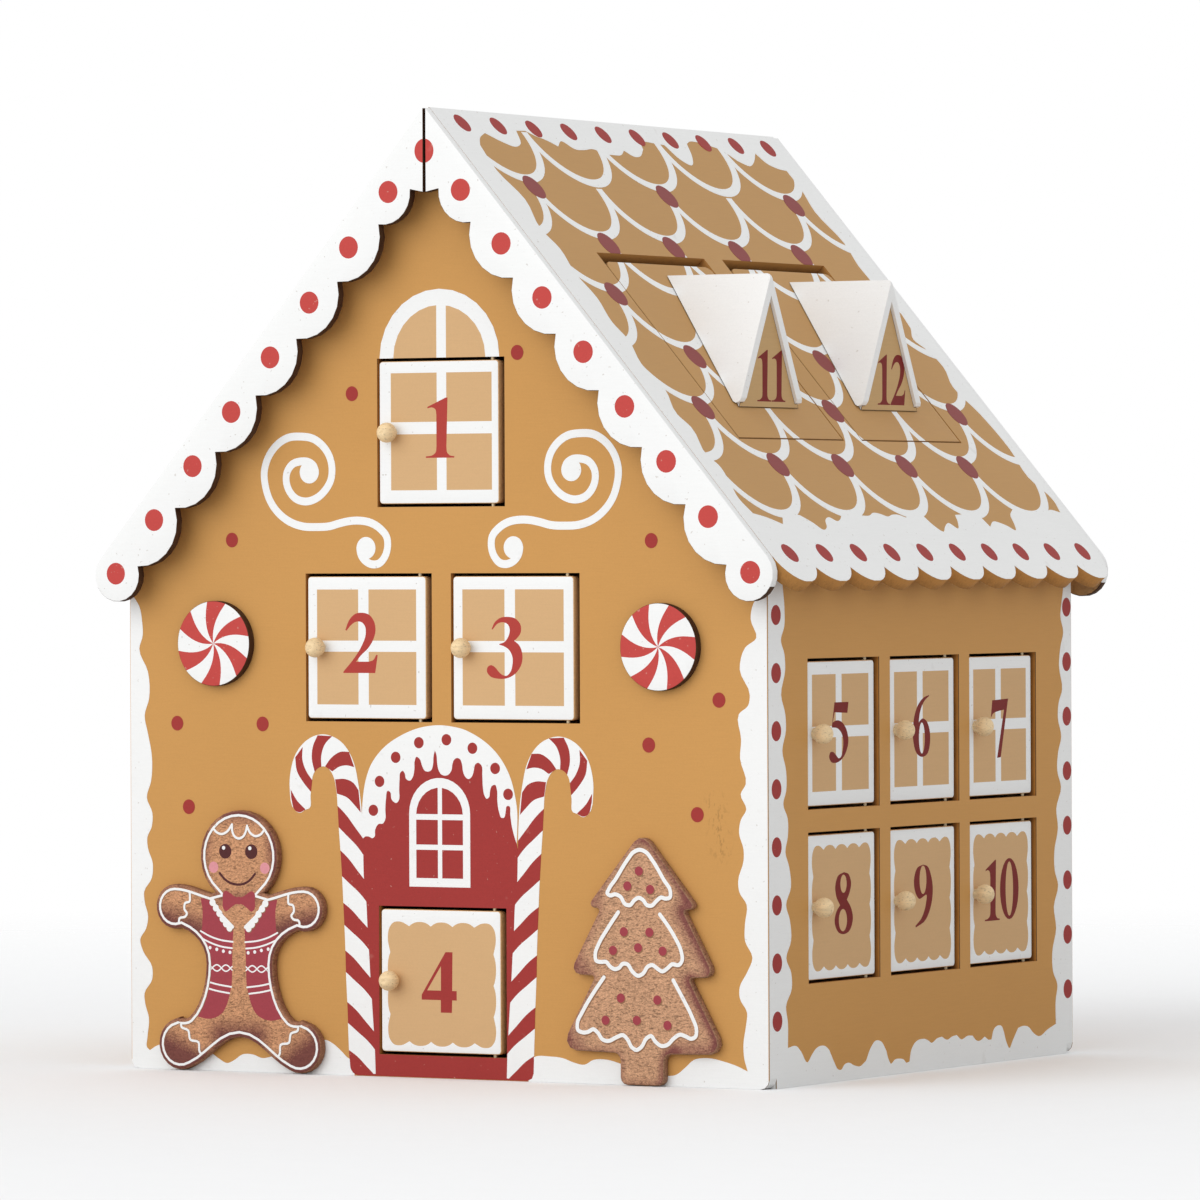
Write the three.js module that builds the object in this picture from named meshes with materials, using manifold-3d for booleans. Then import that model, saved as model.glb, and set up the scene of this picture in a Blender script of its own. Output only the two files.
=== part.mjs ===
// A wooden gingerbread-house advent calendar: four walls and a pitched roof, with numbered doors in the walls
// and hatches under small dormers in the roof, each in front of its own compartment.
// Millimetres, +Z up, the front wall faces -Y, and the origin is at the middle of the footprint.
import * as THREE from "three";
import { mergeVertices } from "three/addons/utils/BufferGeometryUtils.js";
import Module from "manifold-3d";

const wasm = await Module();
wasm.setup();

// House box
const HOUSE_WIDTH = 300; // outside of the side walls
const HOUSE_DEPTH = 263; // outside of the front and back walls
const SIDE_WALL_HEIGHT = 208.2; // at the outer face, where the roof passes
const WALL = 6; // wall board
const BASE = 6; // base board
const FOOT_RADIUS = 4; // bottom corners of the front and back walls

// Roof
const SLOPE = THREE.MathUtils.degToRad(49.1);
const ROOF = 6; // roof board
const FRONT_OVERHANG = 8; // roof board past the front wall
const BACK_OVERHANG = 13; // roof board past the back wall
const EAVE_OVERHANG = 23.5; // along the slope, from above the side wall's face to the scallop tips
const EAVE_SCALLOP = 28.4; // wanted width of one eave scallop
const EAVE_SCALLOP_DEPTH = 7.5;
const ROOF_SEAT_GAP = 0.3; // square to the slope, between the roof and what carries it
const RIDGE_SEAM = 0.3; // between the two mitred roof boards

// Gable boards
const GABLE_BOARD = 4;
const GABLE_SEAM = 1.2; // slit between two gable boards at the ridge
const GABLE_CUSP_DEPTH = 14.5; // from the outer edge to the cusps
const GABLE_FIRST_CUSP = 49.6; // along the slope, from the ridge line
const GABLE_SCALLOP = 30; // wanted width of one scallop
const GABLE_SCALLOP_BULGE = 8;
const GABLE_TOP_BULGE = 5; // of the short scallop next to the ridge
const GABLE_END_RADIUS = 10.8;
const GABLE_END_INSET = 13.5; // from the eave tips back to the middle of the rounded end
const RIDGE_CUSP_ACROSS = 6.6; // from the ridge slit's middle to the cusp beside it
const RIDGE_CUSP_DROP = 33.2; // from the ridge down to that cusp
const RIDGE_DIP = 1.2; // of the edge between the two ridge cusps

// Door openings
const OPENING = 60; // square
const WEB = 9; // board between two neighbouring openings
const ENTRANCE_SILL = 9; // bottom edge of the entrance door's opening
const MIDDLE_SILL = 143.25; // of the pair of doors above it
const ATTIC_SILL_RISE = 21; // from the attic floor's top to the attic opening
const SIDE_SILL = 40; // of the lower row in the side walls
const SIDE_DOOR_RECESS = 1; // side doors stand back from the wall's face

// Doors
const DOOR = 5; // thickness
const DOOR_CORNER = 1.2; // corner radius
const KNOB_SIDE_GAP = 1;
const PIVOT_SIDE_GAP = 2.75;
const END_GAP = 1.25; // above and below a door
const PIVOT_INSET = 4; // from the door's edge to the pivot axis
const PIN_RADIUS = 1;
const PIN_CLEARANCE = 0.2; // round a pin and at its end
const PIN_REACH = 3.5; // into the wall or the roof board
const KNOB_INSET = 6; // from the door's edge to the knob's middle
const KNOB_RADIUS = 4.1;
const KNOB_STEM_RADIUS = 2.4;
const KNOB_STEM = 0.9; // stem that shows between the door and the ball
const KNOB_ROOT = 1.5; // stem inside the door

// Roof hatches
const HATCH_WIDTH = 88; // opening, along the ridge
const HATCH_WEB = 15; // roof board between two openings
const HATCH_TOP = 77; // along the slope, from the ridge line to the opening
const HATCH_LENGTH = 100.25; // opening, along the slope
const LID_GAP = 0.75; // at the sides and the bottom edge
const LID_TOP_GAP = 4.75; // slit that lets the top edge turn in
const LID_PIVOT_INSET = 5; // from the lid's top edge to the pivot axis
const LID_CORNER = 4; // radius of the lid's top corners

// Dormers
const DORMER_BELOW_PIVOT = 1.25; // along the slope, from the lid's pivot axis to the ridge's start
const DORMER_FOOT_INSET = 13.7; // along the slope, from the lid's bottom edge up to the dormer's foot
const DORMER_HALF_WIDTH = 28.2; // at the foot of the front edge
const DORMER_BOARD = 4;
const DORMER_CORNER = 2; // rounded front corners of the side boards
const DORMER_GABLE = 3;
const DORMER_GABLE_SETBACK = 1.5; // behind the side boards' front edges
const DORMER_SEAT_GAP = 0.3; // square to the slope, between a dormer and its lid

// Inner boards
const INNER = 3;
const SLOT_CLEARANCE = 0.2; // on each side of a board in its slot
const SPINE_CLEARANCE = 6; // from the middle openings to the long walls
const ATTIC_WALL_CLEARANCE = 4; // from the attic opening to the attic walls
const ATTIC_FLOOR_CLEARANCE = 2.75; // from the middle openings up to the attic floor

// Cookies and sweets on the front wall
const CUTOUT = 4; // thickness
const FOOT_LIFT = 0.25; // the cut-outs end just above the ground
const MAN_X = -94.8;
const TREE_X = 94.5;
const SWEET_RADIUS = 17.4;
const LEFT_SWEET = { x: -106.7, z: 174.75 };
const RIGHT_SWEET = { x: 102.65, z: 173.9 };

// Facets
const KNOB_SIDES = 12;
const KNOB_RINGS = 6;
const PIN_SIDES = 8;
const SWEET_SIDES = 40;
const SCALLOP_STEPS = 7;
const CORNER_STEPS = 3;
const CURVE_STEPS = 6;

// How far a cutter runs past the board that it cuts
const PAST = 1;

// Sizes that follow from the ones above
const SIN = Math.sin(SLOPE);
const COS = Math.cos(SLOPE);
const TAN = Math.tan(SLOPE);
const HALF_WIDTH = HOUSE_WIDTH / 2;
const INNER_HALF_WIDTH = HALF_WIDTH - WALL;
const INNER_HALF_DEPTH = HOUSE_DEPTH / 2 - WALL;
const RIDGE = SIDE_WALL_HEIGHT + HALF_WIDTH * TAN + ROOF / COS;
const ROOF_HALF_LENGTH = (HOUSE_DEPTH + FRONT_OVERHANG + BACK_OVERHANG) / 2;
const HOUSE_SHIFT = (FRONT_OVERHANG - BACK_OVERHANG) / 2; // keeps the roof centred on the origin
const EAVE_REACH = HALF_WIDTH / COS + EAVE_OVERHANG;
const DOOR_PITCH = OPENING + WEB;
const UPPER_SIDE_SILL = SIDE_SILL + DOOR_PITCH;
const ATTIC_FLOOR_UNDERSIDE = MIDDLE_SILL + OPENING + ATTIC_FLOOR_CLEARANCE;
const ATTIC_FLOOR_TOP = ATTIC_FLOOR_UNDERSIDE + INNER;
const ATTIC_SILL = ATTIC_FLOOR_TOP + ATTIC_SILL_RISE;
const SPINE_INSIDE = WEB / 2 + OPENING + SPINE_CLEARANCE;
const SPINE_OUTSIDE = SPINE_INSIDE + INNER;
const ATTIC_WALL_INSIDE = OPENING / 2 + ATTIC_WALL_CLEARANCE;
const ATTIC_WALL_OUTSIDE = ATTIC_WALL_INSIDE + INNER;
const ATTIC_REACH = Math.min(INNER_HALF_WIDTH, reachUnderRoof(ATTIC_FLOOR_TOP + INNER));
const HATCH_OFFSET = (HATCH_WIDTH + HATCH_WEB) / 2; // from the roof's middle to a hatch's middle
const LID_PIVOT = LID_TOP_GAP + LID_PIVOT_INSET; // from the opening's top edge
const DORMER_START = HATCH_TOP + LID_PIVOT + DORMER_BELOW_PIVOT;
const DORMER_FOOT = HATCH_TOP + HATCH_LENGTH - LID_GAP - DORMER_FOOT_INSET;
const DORMER_LENGTH = (DORMER_FOOT - DORMER_START) * COS; // level ridge, from the roof to the front edge

// Openings of a wall in its own frame: x to the right as seen from outside, and the height of the sill
const GABLE_WALL_OPENINGS = [
  { x: 0, sill: ATTIC_SILL },
  { x: -DOOR_PITCH / 2, sill: MIDDLE_SILL },
  { x: DOOR_PITCH / 2, sill: MIDDLE_SILL },
  { x: 0, sill: ENTRANCE_SILL },
];
const SIDE_WALL_OPENINGS = [UPPER_SIDE_SILL, SIDE_SILL].flatMap((sill) =>
  [-DOOR_PITCH, 0, DOOR_PITCH].map((x) => ({ x, sill })),
);

// Finishes
const TAN_PAINT = { color: 0xd09a58, roughness: 0.6, metalness: 0 };
const ROOF_PAINT = { color: 0xbe9461, roughness: 0.6, metalness: 0 };
const WHITE_PAINT = { color: 0xf0f0ee, roughness: 0.55, metalness: 0 };
const SWEET_PRINT = { color: 0xc84444, roughness: 0.45, metalness: 0 };
const COOKIE_PRINT = { color: 0xb4785a, roughness: 0.6, metalness: 0 };
const BARE_BOARD = { color: 0xb08a5c, roughness: 0.8, metalness: 0 };

// Turns of a form's own axes: its outline stands up in XZ with the thickness towards -Y,
// its outline stands in YZ with the length along +X, and its axis points to the front
const X_AXIS = new THREE.Vector3(1, 0, 0);
const Y_AXIS = new THREE.Vector3(0, 1, 0);
const Z_AXIS = new THREE.Vector3(0, 0, 1);
const STANDING = new THREE.Matrix4().makeBasis(X_AXIS, Z_AXIS, Y_AXIS.clone().negate());
const LENGTHWISE = new THREE.Matrix4().makeBasis(Y_AXIS, Z_AXIS, X_AXIS);
const TO_THE_FRONT = new THREE.Matrix4().makeBasis(X_AXIS, Y_AXIS.clone().negate(), Z_AXIS.clone().negate());

// Scene graph helpers

function addMesh(parent, name, geometry, look, [x, y, z] = [0, 0, 0]) {
  const mesh = new THREE.Mesh(geometry, new THREE.MeshStandardMaterial(look));
  mesh.name = name;
  mesh.position.set(x, y, z);
  parent.add(mesh);
}

function addGroup(parent, [x, y, z], turn = {}) {
  const group = new THREE.Group();
  group.position.set(x, y, z);
  group.rotation.set(0, turn.aboutY ?? 0, turn.aboutZ ?? 0);
  parent.add(group);
  return group;
}

// Joining and cutting

function toSolid(geometry) {
  const bare = new THREE.BufferGeometry();
  bare.setAttribute("position", geometry.getAttribute("position"));
  bare.setIndex(geometry.index);
  const merged = mergeVertices(bare);
  return new wasm.Manifold(
    new wasm.Mesh({
      numProp: 3,
      vertProperties: merged.getAttribute("position").array,
      triVerts: new Uint32Array(merged.index.array),
    }),
  );
}

function toGeometry(solid) {
  const mesh = solid.getMesh();
  const geometry = new THREE.BufferGeometry();
  geometry.setAttribute("position", new THREE.BufferAttribute(mesh.vertProperties, 3));
  geometry.setIndex(new THREE.BufferAttribute(mesh.triVerts, 1));
  geometry.computeVertexNormals();
  return geometry;
}

function join(...geometries) {
  return toGeometry(geometries.map(toSolid).reduce((sum, solid) => sum.add(solid)));
}

function cut(geometry, cutters) {
  return toGeometry(cutters.map(toSolid).reduce((rest, cutter) => rest.subtract(cutter), toSolid(geometry)));
}

function overlapOf(geometry, other) {
  return toGeometry(toSolid(geometry).intersect(toSolid(other)));
}

// Basic forms

function box([x0, x1], [y0, y1], [z0, z1]) {
  const geometry = new THREE.BoxGeometry(x1 - x0, y1 - y0, z1 - z0);
  return geometry.translate((x0 + x1) / 2, (y0 + y1) / 2, (z0 + z1) / 2);
}

function extrude(outline, depth, holes = []) {
  const shape = new THREE.Shape(outline.map(([x, y]) => new THREE.Vector2(x, y)));
  shape.holes = holes.map((hole) => new THREE.Path(hole.map(([x, y]) => new THREE.Vector2(x, y))));
  return new THREE.ExtrudeGeometry(shape, { depth, bevelEnabled: false });
}

// A board whose outline is given in x and z, between two places on y
function uprightBoard(outline, [y0, y1]) {
  return extrude(outline, y1 - y0).applyMatrix4(STANDING).translate(0, y1, 0);
}

// A board whose outline is given in y and z, between two places on x
function lengthwiseBoard(outline, [x0, x1]) {
  return extrude(outline, x1 - x0).applyMatrix4(LENGTHWISE).translate(x0, 0, 0);
}

function rectangle([x0, x1], [y0, y1]) {
  return [
    [x0, y0],
    [x1, y0],
    [x1, y1],
    [x0, y1],
  ];
}

// Points after `start` up to and with `end`, on an arc that bulges to the left of the way by `sagitta`
function arcBetween([x0, y0], [x1, y1], sagitta, steps) {
  const chord = Math.hypot(x1 - x0, y1 - y0);
  const forward = [(x1 - x0) / chord, (y1 - y0) / chord];
  const left = [-forward[1], forward[0]];
  const radius = (chord ** 2 / 4 + sagitta ** 2) / (2 * sagitta);
  const halfAngle = 2 * Math.atan((2 * sagitta) / chord);
  const points = [];
  for (let i = 1; i < steps; i++) {
    const angle = halfAngle * ((2 * i) / steps - 1);
    const along = chord / 2 + radius * Math.sin(angle);
    const aside = radius * Math.cos(angle) - radius + sagitta;
    points.push([x0 + forward[0] * along + left[0] * aside, y0 + forward[1] * along + left[1] * aside]);
  }
  points.push([x1, y1]);
  return points;
}

// An outline from corners [x, y, radius], where a corner without a radius stays sharp
function roundedOutline(corners) {
  return corners.flatMap(([x, y, radius], i) => {
    if (!radius) return [[x, y]];
    const here = new THREE.Vector2(x, y);
    const before = new THREE.Vector2(...corners.at(i - 1)).sub(here);
    const after = new THREE.Vector2(...corners[(i + 1) % corners.length]).sub(here);
    const halfAngle = before.angleTo(after) / 2;
    const longest = Math.min(before.length(), after.length()) / 2;
    const tangent = Math.min(radius / Math.tan(halfAngle), longest);
    const sagitta = tangent * Math.tan(halfAngle) * (1 - Math.sin(halfAngle));
    const start = here.clone().add(before.clone().setLength(tangent)).toArray();
    const end = here.clone().add(after.clone().setLength(tangent)).toArray();
    return [start, ...arcBetween(start, end, Math.sign(before.cross(after)) * sagitta, CORNER_STEPS)];
  });
}

// A whole outline from its right half, which runs from the middle line to the middle line
function mirrored(half) {
  const otherHalf = half.slice(1, -1).map(([x, ...rest]) => [-x, ...rest]);
  return [...half, ...otherHalf.reverse()];
}

// Roof lines, seen from the front

function roofUnderside(x) {
  return RIDGE - ROOF / COS - Math.abs(x) * TAN;
}

// Height at which a board under the roof ends
function underRoof(x) {
  return roofUnderside(x) - ROOF_SEAT_GAP / COS;
}

// Distance from the middle at which a board of a given height meets the roof
function reachUnderRoof(z) {
  return (underRoof(0) - z) / TAN;
}

// A place given along the slope from the ridge line, and outwards from the roof's top face
function onSlope(along, outwards) {
  return [along * COS + outwards * SIN, RIDGE - along * SIN + outwards * COS];
}

// Walls: their frame has its origin on the ground at the middle of the outer face, and y runs inwards

function pivotX(openingX) {
  return openingX + OPENING / 2 - PIVOT_SIDE_GAP - PIVOT_INSET;
}

function pin(radius, length) {
  return new THREE.CylinderGeometry(radius, radius, length, PIN_SIDES);
}

function pinHole() {
  return pin(PIN_RADIUS + PIN_CLEARANCE, 2 * (PIN_REACH + PIN_CLEARANCE));
}

// What a door takes out of its wall: the doorway, and the holes for its two pins
function openingCutters({ x, sill }, recess) {
  const holes = [sill, sill + OPENING].map((z) =>
    pinHole().applyMatrix4(STANDING).translate(pivotX(x), recess + DOOR / 2, z),
  );
  return [box([x - OPENING / 2, x + OPENING / 2], [-PAST, WALL + PAST], [sill, sill + OPENING]), ...holes];
}

function gableWall() {
  const outline = roundedOutline([
    [-HALF_WIDTH, 0, FOOT_RADIUS],
    [HALF_WIDTH, 0, FOOT_RADIUS],
    [HALF_WIDTH, underRoof(HALF_WIDTH)],
    [0, underRoof(0)],
    [-HALF_WIDTH, underRoof(HALF_WIDTH)],
  ]);
  const cutters = GABLE_WALL_OPENINGS.flatMap((opening) => openingCutters(opening, 0));
  return cut(uprightBoard(outline, [0, WALL]), cutters);
}

// A side wall stands between the front and back walls, and its top edge is planed to the slope
function sideWall() {
  const section = [
    [0, 0],
    [WALL, 0],
    [WALL, underRoof(INNER_HALF_WIDTH)],
    [0, underRoof(HALF_WIDTH)],
  ];
  const cutters = SIDE_WALL_OPENINGS.flatMap((opening) => openingCutters(opening, SIDE_DOOR_RECESS));
  return cut(lengthwiseBoard(section, [-INNER_HALF_DEPTH, INNER_HALF_DEPTH]), cutters);
}

// Doors: the origin is on the sill at the middle of the opening, and y runs inwards from the door's face

function knob() {
  const startAngle = Math.asin(KNOB_STEM_RADIUS / KNOB_RADIUS);
  const middle = KNOB_STEM + KNOB_RADIUS * Math.cos(startAngle);
  const profile = [
    [0, -KNOB_ROOT],
    [KNOB_STEM_RADIUS, -KNOB_ROOT],
  ];
  for (let i = 0; i < KNOB_RINGS; i++) {
    const angle = startAngle + ((Math.PI - startAngle) * i) / KNOB_RINGS;
    profile.push([KNOB_RADIUS * Math.sin(angle), middle - KNOB_RADIUS * Math.cos(angle)]);
  }
  profile.push([0, middle + KNOB_RADIUS]);
  const points = profile.map(([radius, height]) => new THREE.Vector2(radius, height));
  return new THREE.LatheGeometry(points, KNOB_SIDES).applyMatrix4(TO_THE_FRONT);
}

function door() {
  const left = KNOB_SIDE_GAP - OPENING / 2;
  const right = OPENING / 2 - PIVOT_SIDE_GAP;
  const top = OPENING - END_GAP;
  const outline = roundedOutline(
    rectangle([left, right], [END_GAP, top]).map((corner) => [...corner, DOOR_CORNER]),
  );
  const rod = pin(PIN_RADIUS, OPENING + 2 * PIN_REACH).applyMatrix4(STANDING);
  return join(
    uprightBoard(outline, [0, DOOR]),
    rod.translate(pivotX(0), DOOR / 2, OPENING / 2),
    knob().translate(left + KNOB_INSET, 0, OPENING / 2),
  );
}

// Roof boards: x runs down the slope from the ridge line, y along the ridge, and z out of the top face

function eaveOutline() {
  const count = Math.round((2 * ROOF_HALF_LENGTH) / EAVE_SCALLOP);
  const pitch = (2 * ROOF_HALF_LENGTH) / count;
  const endRadius = pitch / 2;
  const endSagitta = endRadius * (1 - Math.SQRT1_2);
  const cusp = EAVE_REACH - EAVE_SCALLOP_DEPTH;
  const points = [
    [0, -ROOF_HALF_LENGTH],
    [EAVE_REACH - endRadius, -ROOF_HALF_LENGTH],
    ...arcBetween(
      [EAVE_REACH - endRadius, -ROOF_HALF_LENGTH],
      [EAVE_REACH, -ROOF_HALF_LENGTH + endRadius],
      -endSagitta,
      SCALLOP_STEPS,
    ),
  ];
  const scallop = arcBetween([cusp, 0], [cusp, pitch], -EAVE_SCALLOP_DEPTH, 2 * CURVE_STEPS);
  for (let i = 0; i < count; i++) {
    const start = i * pitch - ROOF_HALF_LENGTH;
    const fromHalf = i === 0 ? CURVE_STEPS : 0;
    const toHalf = i === count - 1 ? CURVE_STEPS - 1 : scallop.length;
    points.push(...scallop.slice(fromHalf, toHalf).map(([x, y]) => [x, y + start]));
  }
  points.push(
    [EAVE_REACH, ROOF_HALF_LENGTH - endRadius],
    ...arcBetween(
      [EAVE_REACH, ROOF_HALF_LENGTH - endRadius],
      [EAVE_REACH - endRadius, ROOF_HALF_LENGTH],
      -endSagitta,
      SCALLOP_STEPS,
    ),
    [0, ROOF_HALF_LENGTH],
  );
  return points;
}

function roofBoard() {
  const hatches = [-HATCH_OFFSET, HATCH_OFFSET];
  const openings = hatches.map((y) =>
    rectangle([HATCH_TOP, HATCH_TOP + HATCH_LENGTH], [y - HATCH_WIDTH / 2, y + HATCH_WIDTH / 2]),
  );
  const board = extrude(eaveOutline(), ROOF, openings).translate(0, 0, -ROOF);
  const seam = RIDGE_SEAM / 2 / COS;
  const mitre = uprightBoard(
    [
      [seam - PAST * TAN, PAST],
      [seam + (ROOF + PAST) * TAN, -ROOF - PAST],
      [-ROOF, -ROOF - PAST],
      [-ROOF, PAST],
    ],
    [-ROOF_HALF_LENGTH - PAST, ROOF_HALF_LENGTH + PAST],
  );
  const holes = hatches.flatMap((y) =>
    [-HATCH_WIDTH / 2, HATCH_WIDTH / 2].map((side) =>
      pinHole().translate(HATCH_TOP + LID_PIVOT, y + side, -ROOF / 2),
    ),
  );
  return cut(board, [mitre, ...holes]);
}

// A hatch lid, with its origin at the middle of the opening's top edge
function hatchLid() {
  const halfWidth = HATCH_WIDTH / 2 - LID_GAP;
  const outline = roundedOutline([
    [LID_TOP_GAP, -halfWidth, LID_CORNER],
    [HATCH_LENGTH - LID_GAP, -halfWidth],
    [HATCH_LENGTH - LID_GAP, halfWidth],
    [LID_TOP_GAP, halfWidth, LID_CORNER],
  ]);
  const rod = pin(PIN_RADIUS, HATCH_WIDTH + 2 * PIN_REACH).translate(LID_PIVOT, 0, -ROOF / 2);
  return join(extrude(outline, ROOF).translate(0, 0, -ROOF), rod);
}

// A dormer on a lid: two sloping boards that meet at a level ridge, and a gable between them.
// The origin is where the ridge leaves the roof, x runs outwards along the ridge, and z is up.
function dormer() {
  const height = DORMER_LENGTH * TAN;
  const pitch = Math.atan2(height, DORMER_HALF_WIDTH);
  const innerTop = -DORMER_BOARD / Math.cos(pitch);
  const innerFoot = DORMER_HALF_WIDTH - DORMER_BOARD / Math.sin(pitch);
  const section = [
    [0, 0],
    [-DORMER_HALF_WIDTH, -height],
    [-innerFoot, -height],
    [0, innerTop],
    [innerFoot, -height],
    [DORMER_HALF_WIDTH, -height],
  ];
  const seat = DORMER_SEAT_GAP / COS; // straight up
  const sideView = roundedOutline([
    [seat / TAN, 0],
    [DORMER_LENGTH, seat - height, DORMER_CORNER],
    [DORMER_LENGTH, 0, DORMER_CORNER],
  ]);
  const width = [-DORMER_HALF_WIDTH, DORMER_HALF_WIDTH];
  const boards = overlapOf(lengthwiseBoard(section, [0, DORMER_LENGTH]), uprightBoard(sideView, width));
  const gableFace = DORMER_LENGTH - DORMER_GABLE_SETBACK;
  const gableSection = [
    [0, innerTop / 2],
    [-innerFoot - DORMER_BOARD / 2, -height],
    [innerFoot + DORMER_BOARD / 2, -height],
  ];
  const gable = cut(lengthwiseBoard(gableSection, [gableFace - DORMER_GABLE, gableFace]), [
    uprightBoard(
      [
        [0, seat],
        [0, -height - PAST],
        [DORMER_LENGTH, -height - PAST],
        [DORMER_LENGTH, seat - height],
      ],
      width,
    ),
  ]);
  return join(boards, gable);
}

// Gable boards: x and z as seen from the front, for the board on the right of the ridge

function gableBoardOutline() {
  const endAlong = EAVE_REACH - GABLE_END_INSET;
  const onEnd = (angle) =>
    onSlope(
      endAlong + GABLE_END_RADIUS * Math.sin(angle),
      GABLE_END_RADIUS * (Math.cos(angle) - 1),
    );
  const ridgeCusp = [RIDGE_CUSP_ACROSS, RIDGE - RIDGE_CUSP_DROP];
  const points = [[GABLE_SEAM / 2, RIDGE - (GABLE_SEAM / 2) * TAN]];

  // Round the lower end, from the straight outer edge to the last cusp, which is 240 degrees round
  const lastCuspAngle = THREE.MathUtils.degToRad(240);
  for (let i = 0; i <= 2 * SCALLOP_STEPS; i++) points.push(onEnd((lastCuspAngle * i) / (2 * SCALLOP_STEPS)));

  // Back up along the scallops
  const lastCuspAlong = endAlong + GABLE_END_RADIUS * Math.sin(lastCuspAngle);
  const count = Math.round((lastCuspAlong - GABLE_FIRST_CUSP) / GABLE_SCALLOP);
  const pitch = (lastCuspAlong - GABLE_FIRST_CUSP) / count;
  for (let i = count - 1; i >= 0; i--) {
    const cusp = onSlope(GABLE_FIRST_CUSP + i * pitch, -GABLE_CUSP_DEPTH);
    points.push(...arcBetween(points.at(-1), cusp, GABLE_SCALLOP_BULGE, SCALLOP_STEPS));
  }
  points.push(...arcBetween(points.at(-1), ridgeCusp, GABLE_TOP_BULGE, SCALLOP_STEPS));
  points.push([GABLE_SEAM / 2, ridgeCusp[1] - RIDGE_DIP]);
  return points;
}

// Cut-outs on the front wall: x from the middle of the figure, and z from the ground

function gingerbreadMan() {
  const degrees = THREE.MathUtils.degToRad;
  const half = new THREE.Path();
  half.absarc(0, 88, 18.8, degrees(90), degrees(-52), true); // head
  half.lineTo(14, 72.6);
  half.bezierCurveTo(20, 74, 25, 76.2, 31.3, 76.2);
  half.absarc(31.3, 67, 9.2, degrees(90), degrees(-110), true); // hand
  half.bezierCurveTo(21, 56, 16.2, 51, 16.2, 44);
  half.bezierCurveTo(16.2, 35, 19.5, 26, 24.5, 22);
  half.bezierCurveTo(26, 20.8, 29, 21.5, 31, 21.3);
  half.absarc(28.8, 10.6 + FOOT_LIFT, 10.6, degrees(78), degrees(-118), true); // foot
  half.bezierCurveTo(15, 5, 9, 14.3, 0, 14.3);
  return uprightBoard(mirrored(half.getPoints(CURVE_STEPS).map((point) => point.toArray())), [-CUTOUT, 0]);
}

function treeCookie() {
  const half = [
    [0, 101, 4.5],
    [25.2, 70.6, 2],
    [19, 69.9, 1],
    [33.5, 43.7, 3],
    [21.4, 43.2, 1],
    [37.8, 13.4, 4.5],
    [10, 12.8, 3],
    [10, FOOT_LIFT, 3],
    [0, FOOT_LIFT],
  ];
  return uprightBoard(roundedOutline(mirrored(half)), [-CUTOUT, 0]);
}

function sweet() {
  return new THREE.CylinderGeometry(SWEET_RADIUS, SWEET_RADIUS, CUTOUT, SWEET_SIDES).translate(0, -CUTOUT / 2, 0);
}

// Inner boards, slotted into each other by half laps: each board's slot ends where the other board's begins

const SLOT = [-INNER / 2 - SLOT_CLEARANCE, INNER / 2 + SLOT_CLEARANCE]; // across a board on the middle line
const FULL_DEPTH = [-INNER_HALF_DEPTH, INNER_HALF_DEPTH];
const THROUGH = [-INNER / 2 - PAST, INNER / 2 + PAST];

function slotAt(place) {
  return SLOT.map((side) => place + side);
}

function sideShelf(lap) {
  const top = UPPER_SIDE_SILL;
  const slots = [-DOOR_PITCH / 2, DOOR_PITCH / 2].map((y) =>
    box([SPINE_OUTSIDE - PAST, lap + SLOT_CLEARANCE], slotAt(y), [top - INNER - PAST, top + PAST]),
  );
  return cut(box([SPINE_OUTSIDE, INNER_HALF_WIDTH], FULL_DEPTH, [top - INNER, top]), slots);
}

// A divider between two side compartments, whose outer top corner gives way to the roof where it has to
function sideDivider(lap) {
  const top = ATTIC_FLOOR_UNDERSIDE;
  const corner =
    underRoof(INNER_HALF_WIDTH) > top
      ? [[INNER_HALF_WIDTH, top]]
      : [
          [INNER_HALF_WIDTH, underRoof(INNER_HALF_WIDTH)],
          [reachUnderRoof(top), top],
        ];
  const outline = [[SPINE_OUTSIDE, SIDE_SILL], [INNER_HALF_WIDTH, SIDE_SILL], ...corner, [SPINE_OUTSIDE, top]];
  const slot = box(
    [lap - SLOT_CLEARANCE, INNER_HALF_WIDTH + PAST],
    THROUGH,
    slotAt(UPPER_SIDE_SILL - INNER / 2),
  );
  return cut(uprightBoard(outline, [-INNER / 2, INNER / 2]), [slot]);
}

function crossWall(dividerLap) {
  const board = box([-SPINE_INSIDE, SPINE_INSIDE], [-INNER / 2, INNER / 2], [BASE, ATTIC_FLOOR_UNDERSIDE]);
  return cut(board, [
    box([-SLOT_CLEARANCE, SPINE_INSIDE + PAST], THROUGH, slotAt(MIDDLE_SILL - INNER / 2)),
    box(SLOT, THROUGH, [dividerLap - SLOT_CLEARANCE, ATTIC_FLOOR_UNDERSIDE + PAST]),
  ]);
}

function middleShelf() {
  const slot = box(
    [-SPINE_INSIDE - PAST, SLOT_CLEARANCE],
    SLOT,
    [MIDDLE_SILL - INNER - PAST, MIDDLE_SILL + PAST],
  );
  return cut(box([-SPINE_INSIDE, SPINE_INSIDE], FULL_DEPTH, [MIDDLE_SILL - INNER, MIDDLE_SILL]), [slot]);
}

function middleDivider(lap) {
  const board = box([-INNER / 2, INNER / 2], FULL_DEPTH, [MIDDLE_SILL, ATTIC_FLOOR_UNDERSIDE]);
  return cut(board, [box(THROUGH, SLOT, [MIDDLE_SILL - PAST, lap + SLOT_CLEARANCE])]);
}

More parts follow.
